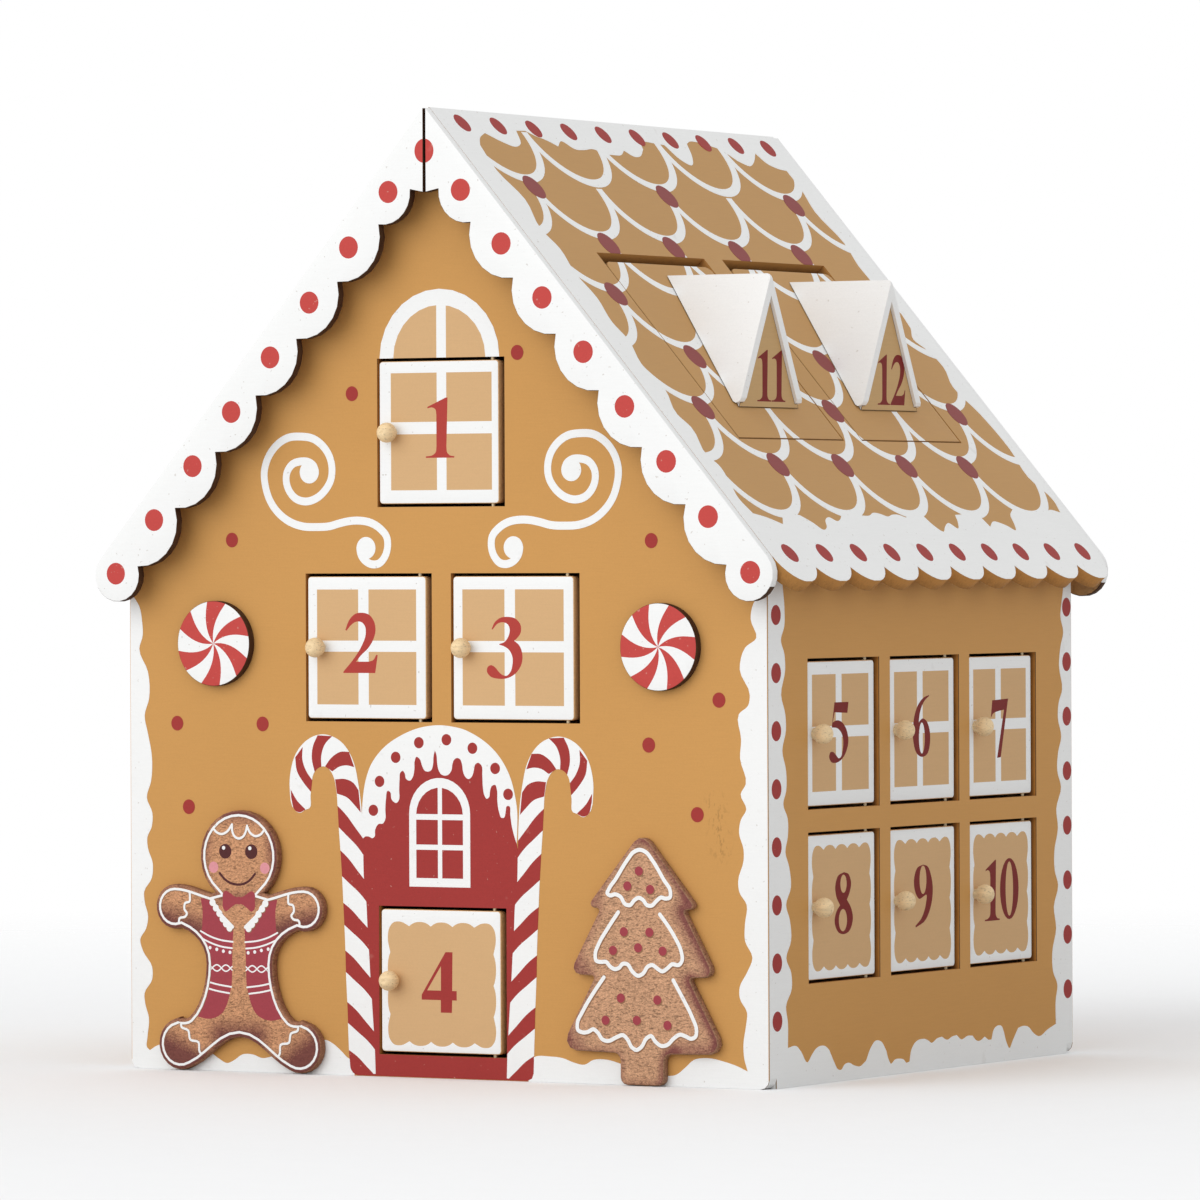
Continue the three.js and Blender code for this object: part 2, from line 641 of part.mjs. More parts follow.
function atticWall(lap) {
  const outline = [
    [ATTIC_WALL_INSIDE, ATTIC_FLOOR_TOP],
    [ATTIC_WALL_OUTSIDE, ATTIC_FLOOR_TOP],
    [ATTIC_WALL_OUTSIDE, underRoof(ATTIC_WALL_OUTSIDE)],
    [ATTIC_WALL_INSIDE, underRoof(ATTIC_WALL_INSIDE)],
  ];
  const slot = box(
    [ATTIC_WALL_INSIDE - PAST, ATTIC_WALL_OUTSIDE + PAST],
    SLOT,
    [ATTIC_FLOOR_TOP - PAST, lap + SLOT_CLEARANCE],
  );
  return cut(uprightBoard(outline, FULL_DEPTH), [slot]);
}

function atticCrossWall(lap) {
  const outline = mirrored([
    [0, underRoof(0)],
    [ATTIC_REACH, underRoof(ATTIC_REACH)],
    [ATTIC_REACH, ATTIC_FLOOR_TOP],
    [0, ATTIC_FLOOR_TOP],
  ]);
  const wallMiddle = ATTIC_WALL_INSIDE + INNER / 2;
  const slots = [-wallMiddle, wallMiddle].map((x) =>
    box(slotAt(x), THROUGH, [lap - SLOT_CLEARANCE, underRoof(0)]),
  );
  return cut(uprightBoard(outline, [-INNER / 2, INNER / 2]), slots);
}

// Assembly. The front and back, and the right and left, are the same boards turned by half a turn.

const HALF_TURNS = [
  { turn: 0, side: "right", otherSide: "left", front: "front", back: "back", firstHatch: 11 },
  { turn: Math.PI, side: "left", otherSide: "right", front: "back", back: "front", firstHatch: 23 },
];

function numbered(kind, number) {
  return `${kind}_${String(number).padStart(2, "0")}`;
}

const part = new THREE.Group();
part.name = "gingerbread_house";
const house = addGroup(part, [0, HOUSE_SHIFT, 0]);
addMesh(
  house,
  "base_board",
  box([-INNER_HALF_WIDTH, INNER_HALF_WIDTH], FULL_DEPTH, [0, BASE]),
  BARE_BOARD,
);

const doorForm = door();
const gableWallForm = gableWall();
const sideWallForm = sideWall();
const WALLS = [
  { name: "front", at: [0, -HOUSE_DEPTH / 2, 0], turn: 0, firstDoor: 1 },
  { name: "right", at: [HALF_WIDTH, 0, 0], turn: Math.PI / 2, firstDoor: 5 },
  { name: "back", at: [0, HOUSE_DEPTH / 2, 0], turn: Math.PI, firstDoor: 13 },
  { name: "left", at: [-HALF_WIDTH, 0, 0], turn: -Math.PI / 2, firstDoor: 17 },
];
for (const { name, at, turn, firstDoor } of WALLS) {
  const isGable = name === "front" || name === "back";
  const openings = isGable ? GABLE_WALL_OPENINGS : SIDE_WALL_OPENINGS;
  const recess = isGable ? 0 : SIDE_DOOR_RECESS;
  const wall = addGroup(house, at, { aboutZ: turn });
  addMesh(wall, `${name}_wall`, isGable ? gableWallForm : sideWallForm, TAN_PAINT);
  openings.forEach(({ x, sill }, i) => {
    addMesh(wall, numbered("door", firstDoor + i), doorForm, WHITE_PAINT, [x, recess, sill]);
  });
  if (name === "front") {
    addMesh(wall, "gingerbread_man", gingerbreadMan(), COOKIE_PRINT, [MAN_X, 0, 0]);
    addMesh(wall, "tree_cookie", treeCookie(), COOKIE_PRINT, [TREE_X, 0, 0]);
    addMesh(wall, "peppermint_left", sweet(), SWEET_PRINT, [LEFT_SWEET.x, 0, LEFT_SWEET.z]);
    addMesh(wall, "peppermint_right", sweet(), SWEET_PRINT, [RIGHT_SWEET.x, 0, RIGHT_SWEET.z]);
  }
}

const sideLap = (SPINE_OUTSIDE + INNER_HALF_WIDTH) / 2;
const middleLap = (MIDDLE_SILL + ATTIC_FLOOR_UNDERSIDE) / 2;
const atticLap = (ATTIC_FLOOR_TOP + underRoof(ATTIC_WALL_OUTSIDE)) / 2;
for (const { turn, side, front, back } of HALF_TURNS) {
  const half = addGroup(house, [0, 0, 0], { aboutZ: turn });
  addMesh(
    half,
    `long_wall_${side}`,
    box([SPINE_INSIDE, SPINE_OUTSIDE], FULL_DEPTH, [BASE, ATTIC_FLOOR_UNDERSIDE]),
    BARE_BOARD,
  );
  addMesh(
    half,
    `lower_floor_${side}`,
    box([SPINE_OUTSIDE, INNER_HALF_WIDTH], FULL_DEPTH, [SIDE_SILL - INNER, SIDE_SILL]),
    BARE_BOARD,
  );
  addMesh(half, `side_shelf_${side}`, sideShelf(sideLap), BARE_BOARD);
  addMesh(half, `divider_${side}_${front}`, sideDivider(sideLap), BARE_BOARD, [0, -DOOR_PITCH / 2, 0]);
  addMesh(half, `divider_${side}_${back}`, sideDivider(sideLap), BARE_BOARD, [0, DOOR_PITCH / 2, 0]);
  addMesh(half, `attic_wall_${side}`, atticWall(atticLap), BARE_BOARD);
}
addMesh(house, "cross_wall", crossWall(middleLap), BARE_BOARD);
addMesh(house, "middle_shelf", middleShelf(), BARE_BOARD);
addMesh(house, "middle_divider", middleDivider(middleLap), BARE_BOARD);
addMesh(
  house,
  "attic_floor",
  box([-ATTIC_REACH, ATTIC_REACH], FULL_DEPTH, [ATTIC_FLOOR_UNDERSIDE, ATTIC_FLOOR_TOP]),
  BARE_BOARD,
);
addMesh(house, "attic_cross_wall", atticCrossWall(atticLap), BARE_BOARD);

const roofForm = roofBoard();
const lidForm = hatchLid();
const dormerForm = dormer();
const gableOutline = gableBoardOutline();
const GABLE_PLACE = [-ROOF_HALF_LENGTH - GABLE_BOARD, -ROOF_HALF_LENGTH];
for (const { turn, side, otherSide, front, firstHatch } of HALF_TURNS) {
  const roof = addGroup(part, [0, 0, 0], { aboutZ: turn });
  const slope = addGroup(roof, [0, 0, RIDGE], { aboutY: SLOPE });
  addMesh(slope, `roof_board_${side}`, roofForm, ROOF_PAINT);
  [-HATCH_OFFSET, HATCH_OFFSET].forEach((y, i) => {
    const ridgeStart = [DORMER_START * COS, y, RIDGE - DORMER_START * SIN];
    addMesh(slope, numbered("hatch_lid", firstHatch + i), lidForm, ROOF_PAINT, [HATCH_TOP, y, 0]);
    addMesh(roof, numbered("dormer", firstHatch + i), dormerForm, WHITE_PAINT, ridgeStart);
  });
  addMesh(roof, `gable_board_${front}_${side}`, uprightBoard(gableOutline, GABLE_PLACE), WHITE_PAINT);
  const flipped = gableOutline.map(([x, z]) => [-x, z]);
  addMesh(roof, `gable_board_${front}_${otherSide}`, uprightBoard(flipped, GABLE_PLACE), WHITE_PAINT);
}

export default part;
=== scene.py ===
"""Looks of a wooden gingerbread-house advent calendar: boards, paint, prints, knobs, light and camera.

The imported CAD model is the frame. Flat prints are drawn in millimetres on the face of a board and laid on it as thin
films, or let into the face of a finished board that stands for its CAD node. Run as a script, never installed.
"""

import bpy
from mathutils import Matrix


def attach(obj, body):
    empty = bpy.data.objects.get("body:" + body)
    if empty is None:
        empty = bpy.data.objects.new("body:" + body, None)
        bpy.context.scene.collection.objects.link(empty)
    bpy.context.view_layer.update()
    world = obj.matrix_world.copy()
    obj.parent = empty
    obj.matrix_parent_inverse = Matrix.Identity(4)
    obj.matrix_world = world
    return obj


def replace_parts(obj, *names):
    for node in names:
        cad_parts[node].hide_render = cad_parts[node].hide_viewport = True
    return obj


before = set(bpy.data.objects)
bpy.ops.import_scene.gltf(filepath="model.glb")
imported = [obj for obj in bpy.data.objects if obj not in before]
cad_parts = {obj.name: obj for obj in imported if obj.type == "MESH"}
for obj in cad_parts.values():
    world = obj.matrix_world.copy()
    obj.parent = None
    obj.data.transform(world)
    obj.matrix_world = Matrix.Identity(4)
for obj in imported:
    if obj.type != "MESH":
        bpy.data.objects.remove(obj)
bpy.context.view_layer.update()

import math

import bmesh
import bpy
import numpy as np
from bpy.props import FloatProperty, FloatVectorProperty, IntProperty, PointerProperty
from bpy.types import Operator, Panel, PropertyGroup
from mathutils import Matrix, Vector
from mathutils.geometry import delaunay_2d_cdt

bl_info = {
    "name": "Gingerbread House Advent Calendar",
    "version": (1, 0, 0),
    "blender": (4, 5, 0),
    "location": "View3D > Sidebar > House",
    "description": "Paints, prints and finishes the boards of a wooden advent calendar",
    "category": "Object",
}

MM = 0.001
SLOPE = math.radians(49.1)
COS, SIN = math.cos(SLOPE), math.sin(SLOPE)
RIDGE = 390.5287  # line where the planes of the two roof slopes meet
FRONT_FACE, BACK_FACE, SIDE_FACE = -134, 129, 150
GABLE_FACE, CUTOUT_FACE = 146, -138
OPENING = 60
WALL, LEAF, CUTOUT = 6, 5, 4  # thicknesses of the wall and roof boards, of a door, and of gable boards and cookies

# A door from the middle of its opening and from its sill: left, right, foot, head
DOOR_EDGES = (-29, 27.25, 1.25, 58.75)
DOOR_CORNER = 1.5
DOOR_SET_BACK = 1  # depth of the side doors' faces below their wall's
KNOB_FROM_MIDDLE, ROD_FROM_MIDDLE = -23, 23.25
DOOR_ROD_REACH, LID_ROD_REACH = 33.5, 47.5
LID_ROD_DOWN = 86.75  # from the ridge, down the slope
KNOB_STEM = [(0, -1.5), (2.4, -1.5), (2.4, 0.75), (2.5, 0.95)]  # radius and height over the door
KNOB_TIP = [(1.15, -0.22), (0.75, -0.24), (0.45, -0.42), (0, -0.5)]  # radius and height over the ball's top

# Rows of doors and the height that their sills lie over
END_ROWS = (("attic", 200), ("middle", 100), ("entrance", 0))
SIDE_ROWS = (("upper", 80), ("lower", 0))

MITRE = 0.35  # how far a corner may run out when an outline is moved sideways
PRINT_MARGIN = 0.35  # bare rim between a print and a corner of the house
PRINT_SUNK = 0.02  # a film's underside below its board's face
FOOT_ROUNDING = 4.2  # height of the rounded lower corners of the front and back walls
WALL_SPRAY, ROOF_SPRAY = 3.5, 12  # how deep paint covers the charred edges
SIDE_RIM, END_RIM, RIDGE_RIM, SEAM = 4.3, 6.3, 1.6, 0.45  # depths of edges of another tone
DORMER_RECESS = 1.5  # from the front edges of a dormer's boards back to its gable
PEPPERMINT = 17.4  # radius
WHITE_BOARD = ("icing", "cut_edge", "board")  # paints of the face, the edge and the back
GABLE_DOTS_FROM, GABLE_DOTS_TO, RIDGE_DOT = (17, 356.6), (149, 203.4), 372.7

# Light and camera
LAMP_FROM = (-0.28, -0.88, 0.36)
LENS, LENS_SHIFT = 241.79, -0.04347
CAMERA_PLACE, CAMERA_YAW, CAMERA_ROLL = (1.688293, -2.901861, 0.213208), 0.528, -0.004


# Boards: where the face of each is, which way is across it and which way is up it


class Board:
    """A flat face of the house, in millimetres: a corner, the way across and the way up."""

    def __init__(self, corner, across, up):
        self.corner, self.across, self.up = Vector(corner), Vector(across), Vector(up)
        self.out = self.across.cross(self.up)

    def at(self, a, b, height=0.0):
        return (self.corner + self.across * a + self.up * b + self.out * height) * MM

    def flat(self, spot):
        away = Vector(spot) / MM - self.corner
        return away.dot(self.across), away.dot(self.up), away.dot(self.out)

    def raised(self, height):
        return Board(self.corner + self.out * height, self.across, self.up)


FRONT = Board((0, FRONT_FACE, 0), (1, 0, 0), (0, 0, 1))
BACK = Board((0, BACK_FACE, 0), (-1, 0, 0), (0, 0, 1))
RIGHT = Board((SIDE_FACE, FRONT_FACE, 0), (0, 1, 0), (0, 0, 1))
LEFT = Board((-SIDE_FACE, BACK_FACE, 0), (0, -1, 0), (0, 0, 1))
ROOF_RIGHT = Board((0, FRONT_FACE, RIDGE), (COS, 0, -SIN), (0, 1, 0))
ROOF_LEFT = Board((0, -FRONT_FACE, RIDGE), (-COS, 0, -SIN), (0, -1, 0))
GABLE_FRONT = Board((0, -GABLE_FACE, 0), (1, 0, 0), (0, 0, 1))
GABLE_BACK = Board((0, GABLE_FACE, 0), (-1, 0, 0), (0, 0, 1))
CUTOUTS = Board((0, CUTOUT_FACE, 0), (1, 0, 0), (0, 0, 1))
WALLS = {"front": FRONT, "back": BACK, "right": RIGHT, "left": LEFT}
END_WALLS = ("front", "back")
DOORS = {"front": range(1, 5), "right": range(5, 11), "back": range(13, 17), "left": range(17, 23)}
HATCHES = {"right": (11, 12), "left": (23, 24)}
ROOFS = {"right": ROOF_RIGHT, "left": ROOF_LEFT}


# Sizes and colours that a user would change


def colour(name, description, default):
    return FloatVectorProperty(name=name, description=description, default=default, min=0, max=1, subtype="COLOR")


def length(name, description, default, most):
    return FloatProperty(name=name, description=description, default=default * MM, min=0, max=most * MM, unit="LENGTH")


class HousePaints(PropertyGroup):
    """Colours of the paints, prints and woods."""

    wall_tan: colour("Wall tan", "Paint of the four walls", (0.595, 0.308, 0.095))
    roof_tan: colour("Roof tan", "Paint of the roof boards and lids", (0.530, 0.302, 0.118))
    icing: colour("Icing white", "Printed icing, window frames, gable boards and dormers", (0.885, 0.890, 0.885))
    pane: colour("Pane", "Window panes and door panels", (0.650, 0.410, 0.205))
    gable_tan: colour("Dormer tan", "Gables of the dormers", (0.560, 0.360, 0.165))
    maroon: colour("Maroon", "Entrance, candy canes and dots on the walls", (0.355, 0.039, 0.035))
    red: colour("Red", "Peppermints and dots on the gable boards", (0.540, 0.066, 0.058))
    numeral: colour("Numeral red", "Numerals of the upper front doors", (0.440, 0.052, 0.042))
    dark_numeral: colour("Numeral maroon", "Numerals of the side doors and dormers", (0.190, 0.012, 0.009))
    roof_dot: colour("Roof maroon", "Round marks on the roof scales", (0.275, 0.068, 0.066))
    cookie: colour("Cookie", "Gingerbread man", (0.520, 0.262, 0.138))
    tree_cookie: colour("Tree cookie", "Gingerbread tree", (0.520, 0.292, 0.172))
    burnt_cookie: colour("Dark cookie", "Dark baked parts of the cookies", (0.165, 0.050, 0.046))
    vest: colour("Vest", "Vest and bow tie", (0.355, 0.056, 0.072))
    cheek: colour("Cheek", "Cheeks of the gingerbread man", (0.720, 0.300, 0.330))
    eye: colour("Eye", "Eyes and mouth of the gingerbread man", (0.085, 0.022, 0.022))
    cut_edge: colour("Cut edge", "Laser-cut edges of the boards", (0.060, 0.026, 0.014))
    board: colour("Bare board", "Unpainted fibreboard", (0.430, 0.265, 0.125))
    knob: colour("Knob", "Turned beech", (0.840, 0.630, 0.365))
    steel: colour("Steel", "Pivot rods", (0.430, 0.350, 0.230))


class HouseSizes(PropertyGroup):
    """Sizes of the prints and of the finish of the boards."""

    film: length("Print thickness", "How proud a print stands of its board", 0.12, 0.3)
    round_over: length("Round-over", "Radius along the edges of doors and cut-outs", 0.55, 1.2)
    cookie_round: length("Cookie round-over", "Radius along the edges of the cookies", 0.9, 1.6)
    knob_radius: length("Knob radius", "Radius of the turned knobs", 4.05, 4.1)
    rod_radius: length("Rod radius", "Radius of the steel pivot rods", 1.0, 1.0)
    wall_dot: length("Wall dot", "Radius of the dots strewn over the front", 2.9, 6)
    gable_dot: length("Gable dot", "Radius of the dots on the gable boards", 4.5, 6)
    side_dot: length("Side dot", "Radius of the dots beside the side walls", 4.0, 6)
    roof_dot: length("Roof dot", "Radius of the dots along the ridge and the eave", 4.7, 6)
    scale_dot: length("Scale dot", "Radius of the round marks where roof scales meet", 6.3, 8)
    scale_line: length("Scale line", "Width of the icing line round each roof scale", 4.4, 8)
    gable_dots: IntProperty(name="Gable dots", description="Dots on each gable board below the ridge", default=8, min=1)
    side_dots: IntProperty(name="Side dots", description="Dots in each border of a side wall", default=8, min=1)
    roof_dots: IntProperty(name="Roof dots", description="Dots along the ridge and the eave", default=10, min=1)


class HouseLight(PropertyGroup):
    """Light and floor of the picture."""

    sky: FloatProperty(name="Sky", description="Brightness of the even light from all round", default=0.80, min=0)
    lamp: FloatProperty(name="Lamp", description="Strength of the soft main light", default=1.20, min=0)
    lamp_width: FloatProperty(
        name="Lamp width", description="How wide the main light looks", default=math.radians(60), min=0, subtype="ANGLE"
    )
    floor: length("Floor radius", "How far the floor reaches before it fades out", 1600, 9000)


# Drawing: outlines are lists of points (a, b) in millimetres on the face of a board


def rounded(spots, closed=False, steps=4):
    """Points on a smooth line through the spots."""
    spots = [Vector(spot) for spot in spots]
    ring = spots + spots[:1] if closed else spots
    whole = [spots[-1], *ring, spots[1]] if closed else [spots[0], *ring, spots[-1]]
    ways = []
    for last, here, following in zip(whole, whole[1:], whole[2:]):
        near, far = (here - last).length, (following - here).length
        if near < 1e-6 or far < 1e-6:
            ways.append((following - last) / max(near + far, 1e-6))
        else:
            ways.append(((here - last) / near * far + (following - here) / far * near) / (near + far))
    points = []
    for i, (start, end) in enumerate(zip(ring, ring[1:])):
        reach = (end - start).length
        for k in range(steps):
            t = k / steps
            points.append(
                start * (2 * t**3 - 3 * t**2 + 1)
                + ways[i] * reach * (t**3 - 2 * t**2 + t)
                + end * (3 * t**2 - 2 * t**3)
                + ways[i + 1] * reach * (t**3 - t**2)
            )
    if not closed:
        points.append(ring[-1])
    return [(p.x, p.y) for p in points]


def spots_of(text):
    return [tuple(float(number) for number in spot.split(",")) for spot in text.split()]


def drawn(text, steps=4):
    """An outline from a drawing in words: runs parted by semicolons, where a run after a tilde is rounded and one
    after an o is a round loop."""
    points = []
    for run in text.split(";"):
        kind = run.strip()[0]
        spots = spots_of(run.replace("~", " ").replace("o", " "))
        points += rounded(spots, kind == "o", steps) if kind in "~o" else spots
    return [p for i, p in enumerate(points) if math.dist(p, points[i - 1]) > 1e-4]


def oval(a, b, across, up=None, corners=28, start=0.0, end=360.0):
    """An oval's outline, or an arc of it."""
    up = across if up is None else up
    whole = end - start == 360.0
    share = (end - start) / (corners if whole else corners - 1)
    angles = [math.radians(start + share * i) for i in range(corners)]
    return [(a + across * math.cos(t), b + up * math.sin(t)) for t in angles]


def oblong(a0, a1, b0, b1, corner=0.0):
    """A rectangle's outline, with rounded corners if they have a radius."""
    if not corner:
        return [(a0, b0), (a1, b0), (a1, b1), (a0, b1)]
    middles = [(a1 - corner, b1 - corner, 0), (a0 + corner, b1 - corner, 90)]
    middles += [(a0 + corner, b0 + corner, 180), (a1 - corner, b0 + corner, 270)]
    return [p for a, b, t in middles for p in oval(a, b, corner, corners=5, start=t, end=t + 90)]


def stroke(points, width):
    """The outline of a line of even width with round ends."""
    spots = [Vector(p) for p in points]
    ways = [(b - a).normalized() for a, b in zip(spots, spots[1:])]
    left, right = [], []
    for i, spot in enumerate(spots):
        before, after = ways[max(i - 1, 0)], ways[min(i, len(ways) - 1)]
        way = (before + after).normalized()
        aside = Vector((-way.y, way.x)) * (width / 2 / max(way.dot(after), 0.6))
        left.append(spot + aside)
        right.append(spot - aside)

    def cap(spot, way):
        side = Vector((-way.y, way.x))
        turns = [math.radians(t) for t in (60, 30, 0, -30, -60)]
        return [spot + (way * math.cos(t) + side * math.sin(t)) * (width / 2) for t in turns]

    outline = left + cap(spots[-1], ways[-1]) + right[::-1] + cap(spots[0], -ways[0])
    return [(p.x, p.y) for p in outline]


def line_of(text, width):
    """The outline of a rounded line of even width through the spots of a drawing."""
    return stroke(rounded(spots_of(text)), width)


def ovals(text, across, up=None, corners=28):
    """An oval on every spot of a drawing."""
    return [oval(a, b, across, up, corners) for a, b in spots_of(text)]


def mirrored(points, middle):
    return [(2 * middle - a, b) for a, b in points]


def moved(points, a, b, wide=1.0, high=1.0):
    return [(p[0] * wide + a, p[1] * high + b) for p in points]


def area(outline):
    return sum(p[0] * q[1] - q[0] * p[1] for p, q in zip(outline, [*outline[1:], outline[0]])) / 2


def inset(outline, distance):
    """The outline with every side moved inwards."""
    spots = [Vector(p) for p in (outline if area(outline) > 0 else outline[::-1])]
    result = []
    for last, here, following in zip([spots[-1], *spots], spots, [*spots[1:], spots[0]]):
        before, after = (here - last).normalized(), (following - here).normalized()
        sum_of = Vector((-before.y - after.y, before.x + after.x))
        spot = here + sum_of * (distance / max(1 + before.dot(after), MITRE))
        result.append((spot.x, spot.y))
    return result


def mark(paint, *outlines, holes=(), within=None):
    """A patch of one paint, kept within another outline if one is given."""
    return paint, list(outlines), list(holes), [within] if within else []


def placed(marks, move):
    return [(paint, *([move(line) for line in lines] for lines in groups)) for paint, *groups in marks]


def turns_round(outline, spots):
    """How often an outline turns round each spot, counted to the left."""
    turns = np.zeros(len(spots), int)
    corners = np.array(outline, float)
    low, high = corners.min(0), corners.max(0)
    close = np.flatnonzero(np.all((spots >= low) & (spots <= high), axis=1))
    a, b = spots[close, 0], spots[close, 1]
    count = np.zeros(len(close), int)
    for (a0, b0), (a1, b1) in zip(corners, np.roll(corners, -1, axis=0)):
        side = (a1 - a0) * (b - b0) - (a - a0) * (b1 - b0)
        count += (b0 <= b) & (b1 > b) & (side > 0)
        count -= (b0 > b) & (b1 <= b) & (side < 0)
    turns[close] = count
    return turns


def inside(outline, spots):
    """Which spots an outline turns round."""
    return turns_round(outline, spots) != 0


def arrange(marks, sheet, holes=(), window=None, grid=0.0):
    """Cuts the sheet into triangles along every outline and gives each the paint of the topmost mark on it.
    The result is corners, triangles that turn to the left, and a paint for each triangle or None. A grid adds
    corners at its spacing, for boards that are shaded by their distance from the edge."""
    corners, edges = [], []
    outlines = [sheet, *holes, *([window] if window else [])]
    outlines += [line for _, *groups in marks for lines in groups for line in lines]
    for outline in outlines:
        first, count = len(corners), len(outline)
        corners += [Vector(p) for p in outline]
        edges += [(first + i, first + (i + 1) % count) for i in range(count)]
    if grid:
        (a0, b0), (a1, b1) = np.min(sheet, 0), np.max(sheet, 0)
        loose = [
            (a + grid / 2 * (row % 2), b)
            for row, b in enumerate(np.arange(b0, b1, grid * 0.87))
            for a in np.arange(a0, a1, grid)
        ]
        corners += [Vector(p) for p in np.array(loose)[inside(inset(sheet, grid / 2), np.array(loose))]]
    cut, _, triangles, *_ = delaunay_2d_cdt(corners, edges, [], 0, 2e-3, False)
    triangles = [t for t in triangles if len(t) == 3]
    places = np.array([(p.x, p.y) for p in cut])
    ways = np.array(triangles)
    middles = places[ways].mean(axis=1)
    first, second, third = (places[ways[:, k]] for k in range(3))
    doubled = (second - first)[:, 0] * (third - first)[:, 1] - (second - first)[:, 1] * (third - first)[:, 0]
    ways[doubled < 0] = ways[doubled < 0][:, ::-1]
    paint = np.full(len(ways), -1)
    for number, (name, lines, gaps, bounds) in enumerate(marks):
        covered = np.zeros(len(ways), bool)
        for line in lines:
            covered |= inside(line, middles)
        for gap in gaps:
            covered &= ~inside(gap, middles)
        for bound in bounds:
            covered &= inside(bound, middles)
        paint[covered] = number
    kept = turns_round(sheet, middles) * area(sheet) > 0
    for hole in holes:
        kept &= ~inside(hole, middles)
    if window:
        kept &= inside(window, middles)
    names = [marks[k][0] if k >= 0 else None for k in paint[kept]]
    return [tuple(p) for p in places], ways[kept].tolist(), names


def from_outline(spots, outline):
    """Distance of each spot from an outline."""
    spots, starts = np.array(spots, float), np.array(outline, float)
    ends = np.roll(starts, -1, axis=0)
    nearest = np.full(len(spots), np.inf)
    for start, way in zip(starts, ends - starts):
        away = spots - start
        share = np.clip(away @ way / max(way @ way, 1e-9), 0, 1)
        nearest = np.minimum(nearest, np.hypot(*(away - share[:, None] * way).T))
    return nearest


# Reading the frame


def face_of(node, board, depth=0.0):
    """The outline and the holes of a CAD node's face on a board, at its outermost or at a depth below that."""
    form = bmesh.new()
    form.from_mesh(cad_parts[node].data)
    bmesh.ops.remove_doubles(form, verts=form.verts, dist=1e-6)
    flat = {v: board.flat(v.co) for v in form.verts}
    level = max(f[2] for f in flat.values()) - depth
    nodes_faces = [f for f in form.faces if all(abs(flat[v][2] - level) < 0.02 for v in f.verts)]
    onward = dict.fromkeys((loop.vert, loop.link_loop_next.vert) for face in nodes_faces for loop in face.loops)
    border = {a: b for a, b in onward if (b, a) not in onward}
    if not border:
        raise RuntimeError(f"{node} has no face on that board")
    loops = []
    while border:
        start = next(iter(border))
        loop, here = [], start
        while here in border:
            loop.append(flat[here][:2])
            here = border.pop(here)
        loops.append(loop)
    form.free()
    loops.sort(key=lambda loop: -abs(area(loop)))
    return loops[0], loops[1:]


def span(spots):
    """The lowest and the highest across and up of spots on a board."""
    return [min(s[k] for s in spots) for k in (0, 1)], [max(s[k] for s in spots) for k in (0, 1)]


# Making meshes


def make_piece(name, points, faces, paints, body, smooth=False, crease=38.0, rims=None):
    """A finished piece whose place is in its mesh, riding on a body. Rims are distances from the edge of a board."""
    mesh = bpy.data.meshes.new(name)
    mesh.from_pydata(points, [], faces)
    order = []
    for paint in paints:
        if paint not in order:
            order.append(paint)
    for paint in order:
        mesh.materials.append(bpy.data.materials[paint])
    mesh.polygons.foreach_set("material_index", [order.index(paint) for paint in paints])
    flags = smooth if isinstance(smooth, list) else [smooth] * len(faces)
    mesh.polygons.foreach_set("use_smooth", flags)
    mesh.update()
    if any(flags):
        mesh.set_sharp_from_angle(angle=math.radians(crease))
    if rims is not None:
        mesh.attributes.new("rim", "FLOAT", "POINT").data.foreach_set("value", rims)
    if mesh.validate():
        raise RuntimeError(f"{name} has faces that Blender can't keep")
    piece = bpy.data.objects.new(name, mesh)
    bpy.context.scene.collection.objects.link(piece)
    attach(piece, body)
    return piece


def border_of(triangles):
    """The edges on the border of a patch of triangles, each with the number of its triangle."""
    sides = {}
    for number, (a, b, c) in enumerate(triangles):
        for side in ((a, b), (b, c), (c, a)):
            sides[side] = number
    return {side: number for side, number in sides.items() if side[::-1] not in sides}


def renumbered(triangles):
    """The corners that triangles use, and the triangles with numbers in that list."""
    used = sorted({v for t in triangles for v in t})
    number = {v: i for i, v in enumerate(used)}
    return used, [tuple(number[v] for v in t) for t in triangles]


def lay_film(name, board, pattern, body="house"):
    """A print as a thin closed film on a board. Where no paint is, there is no film."""
    thickness = bpy.context.scene.house_sizes.film / MM
    corners, triangles, names = pattern
    used, top = renumbered([t for t, n in zip(triangles, names) if n])
    names, count = [n for n in names if n], len(used)
    points = [board.at(*corners[v], thickness) for v in used] + [board.at(*corners[v], -PRINT_SUNK) for v in used]
    faces, paints = top + [tuple(v + count for v in reversed(t)) for t in top], names + names
    for (a, b), triangle in border_of(top).items():
        faces.append((a + count, b + count, b, a))
        paints.append(names[triangle])
    return make_piece(name, points, faces, paints, body)


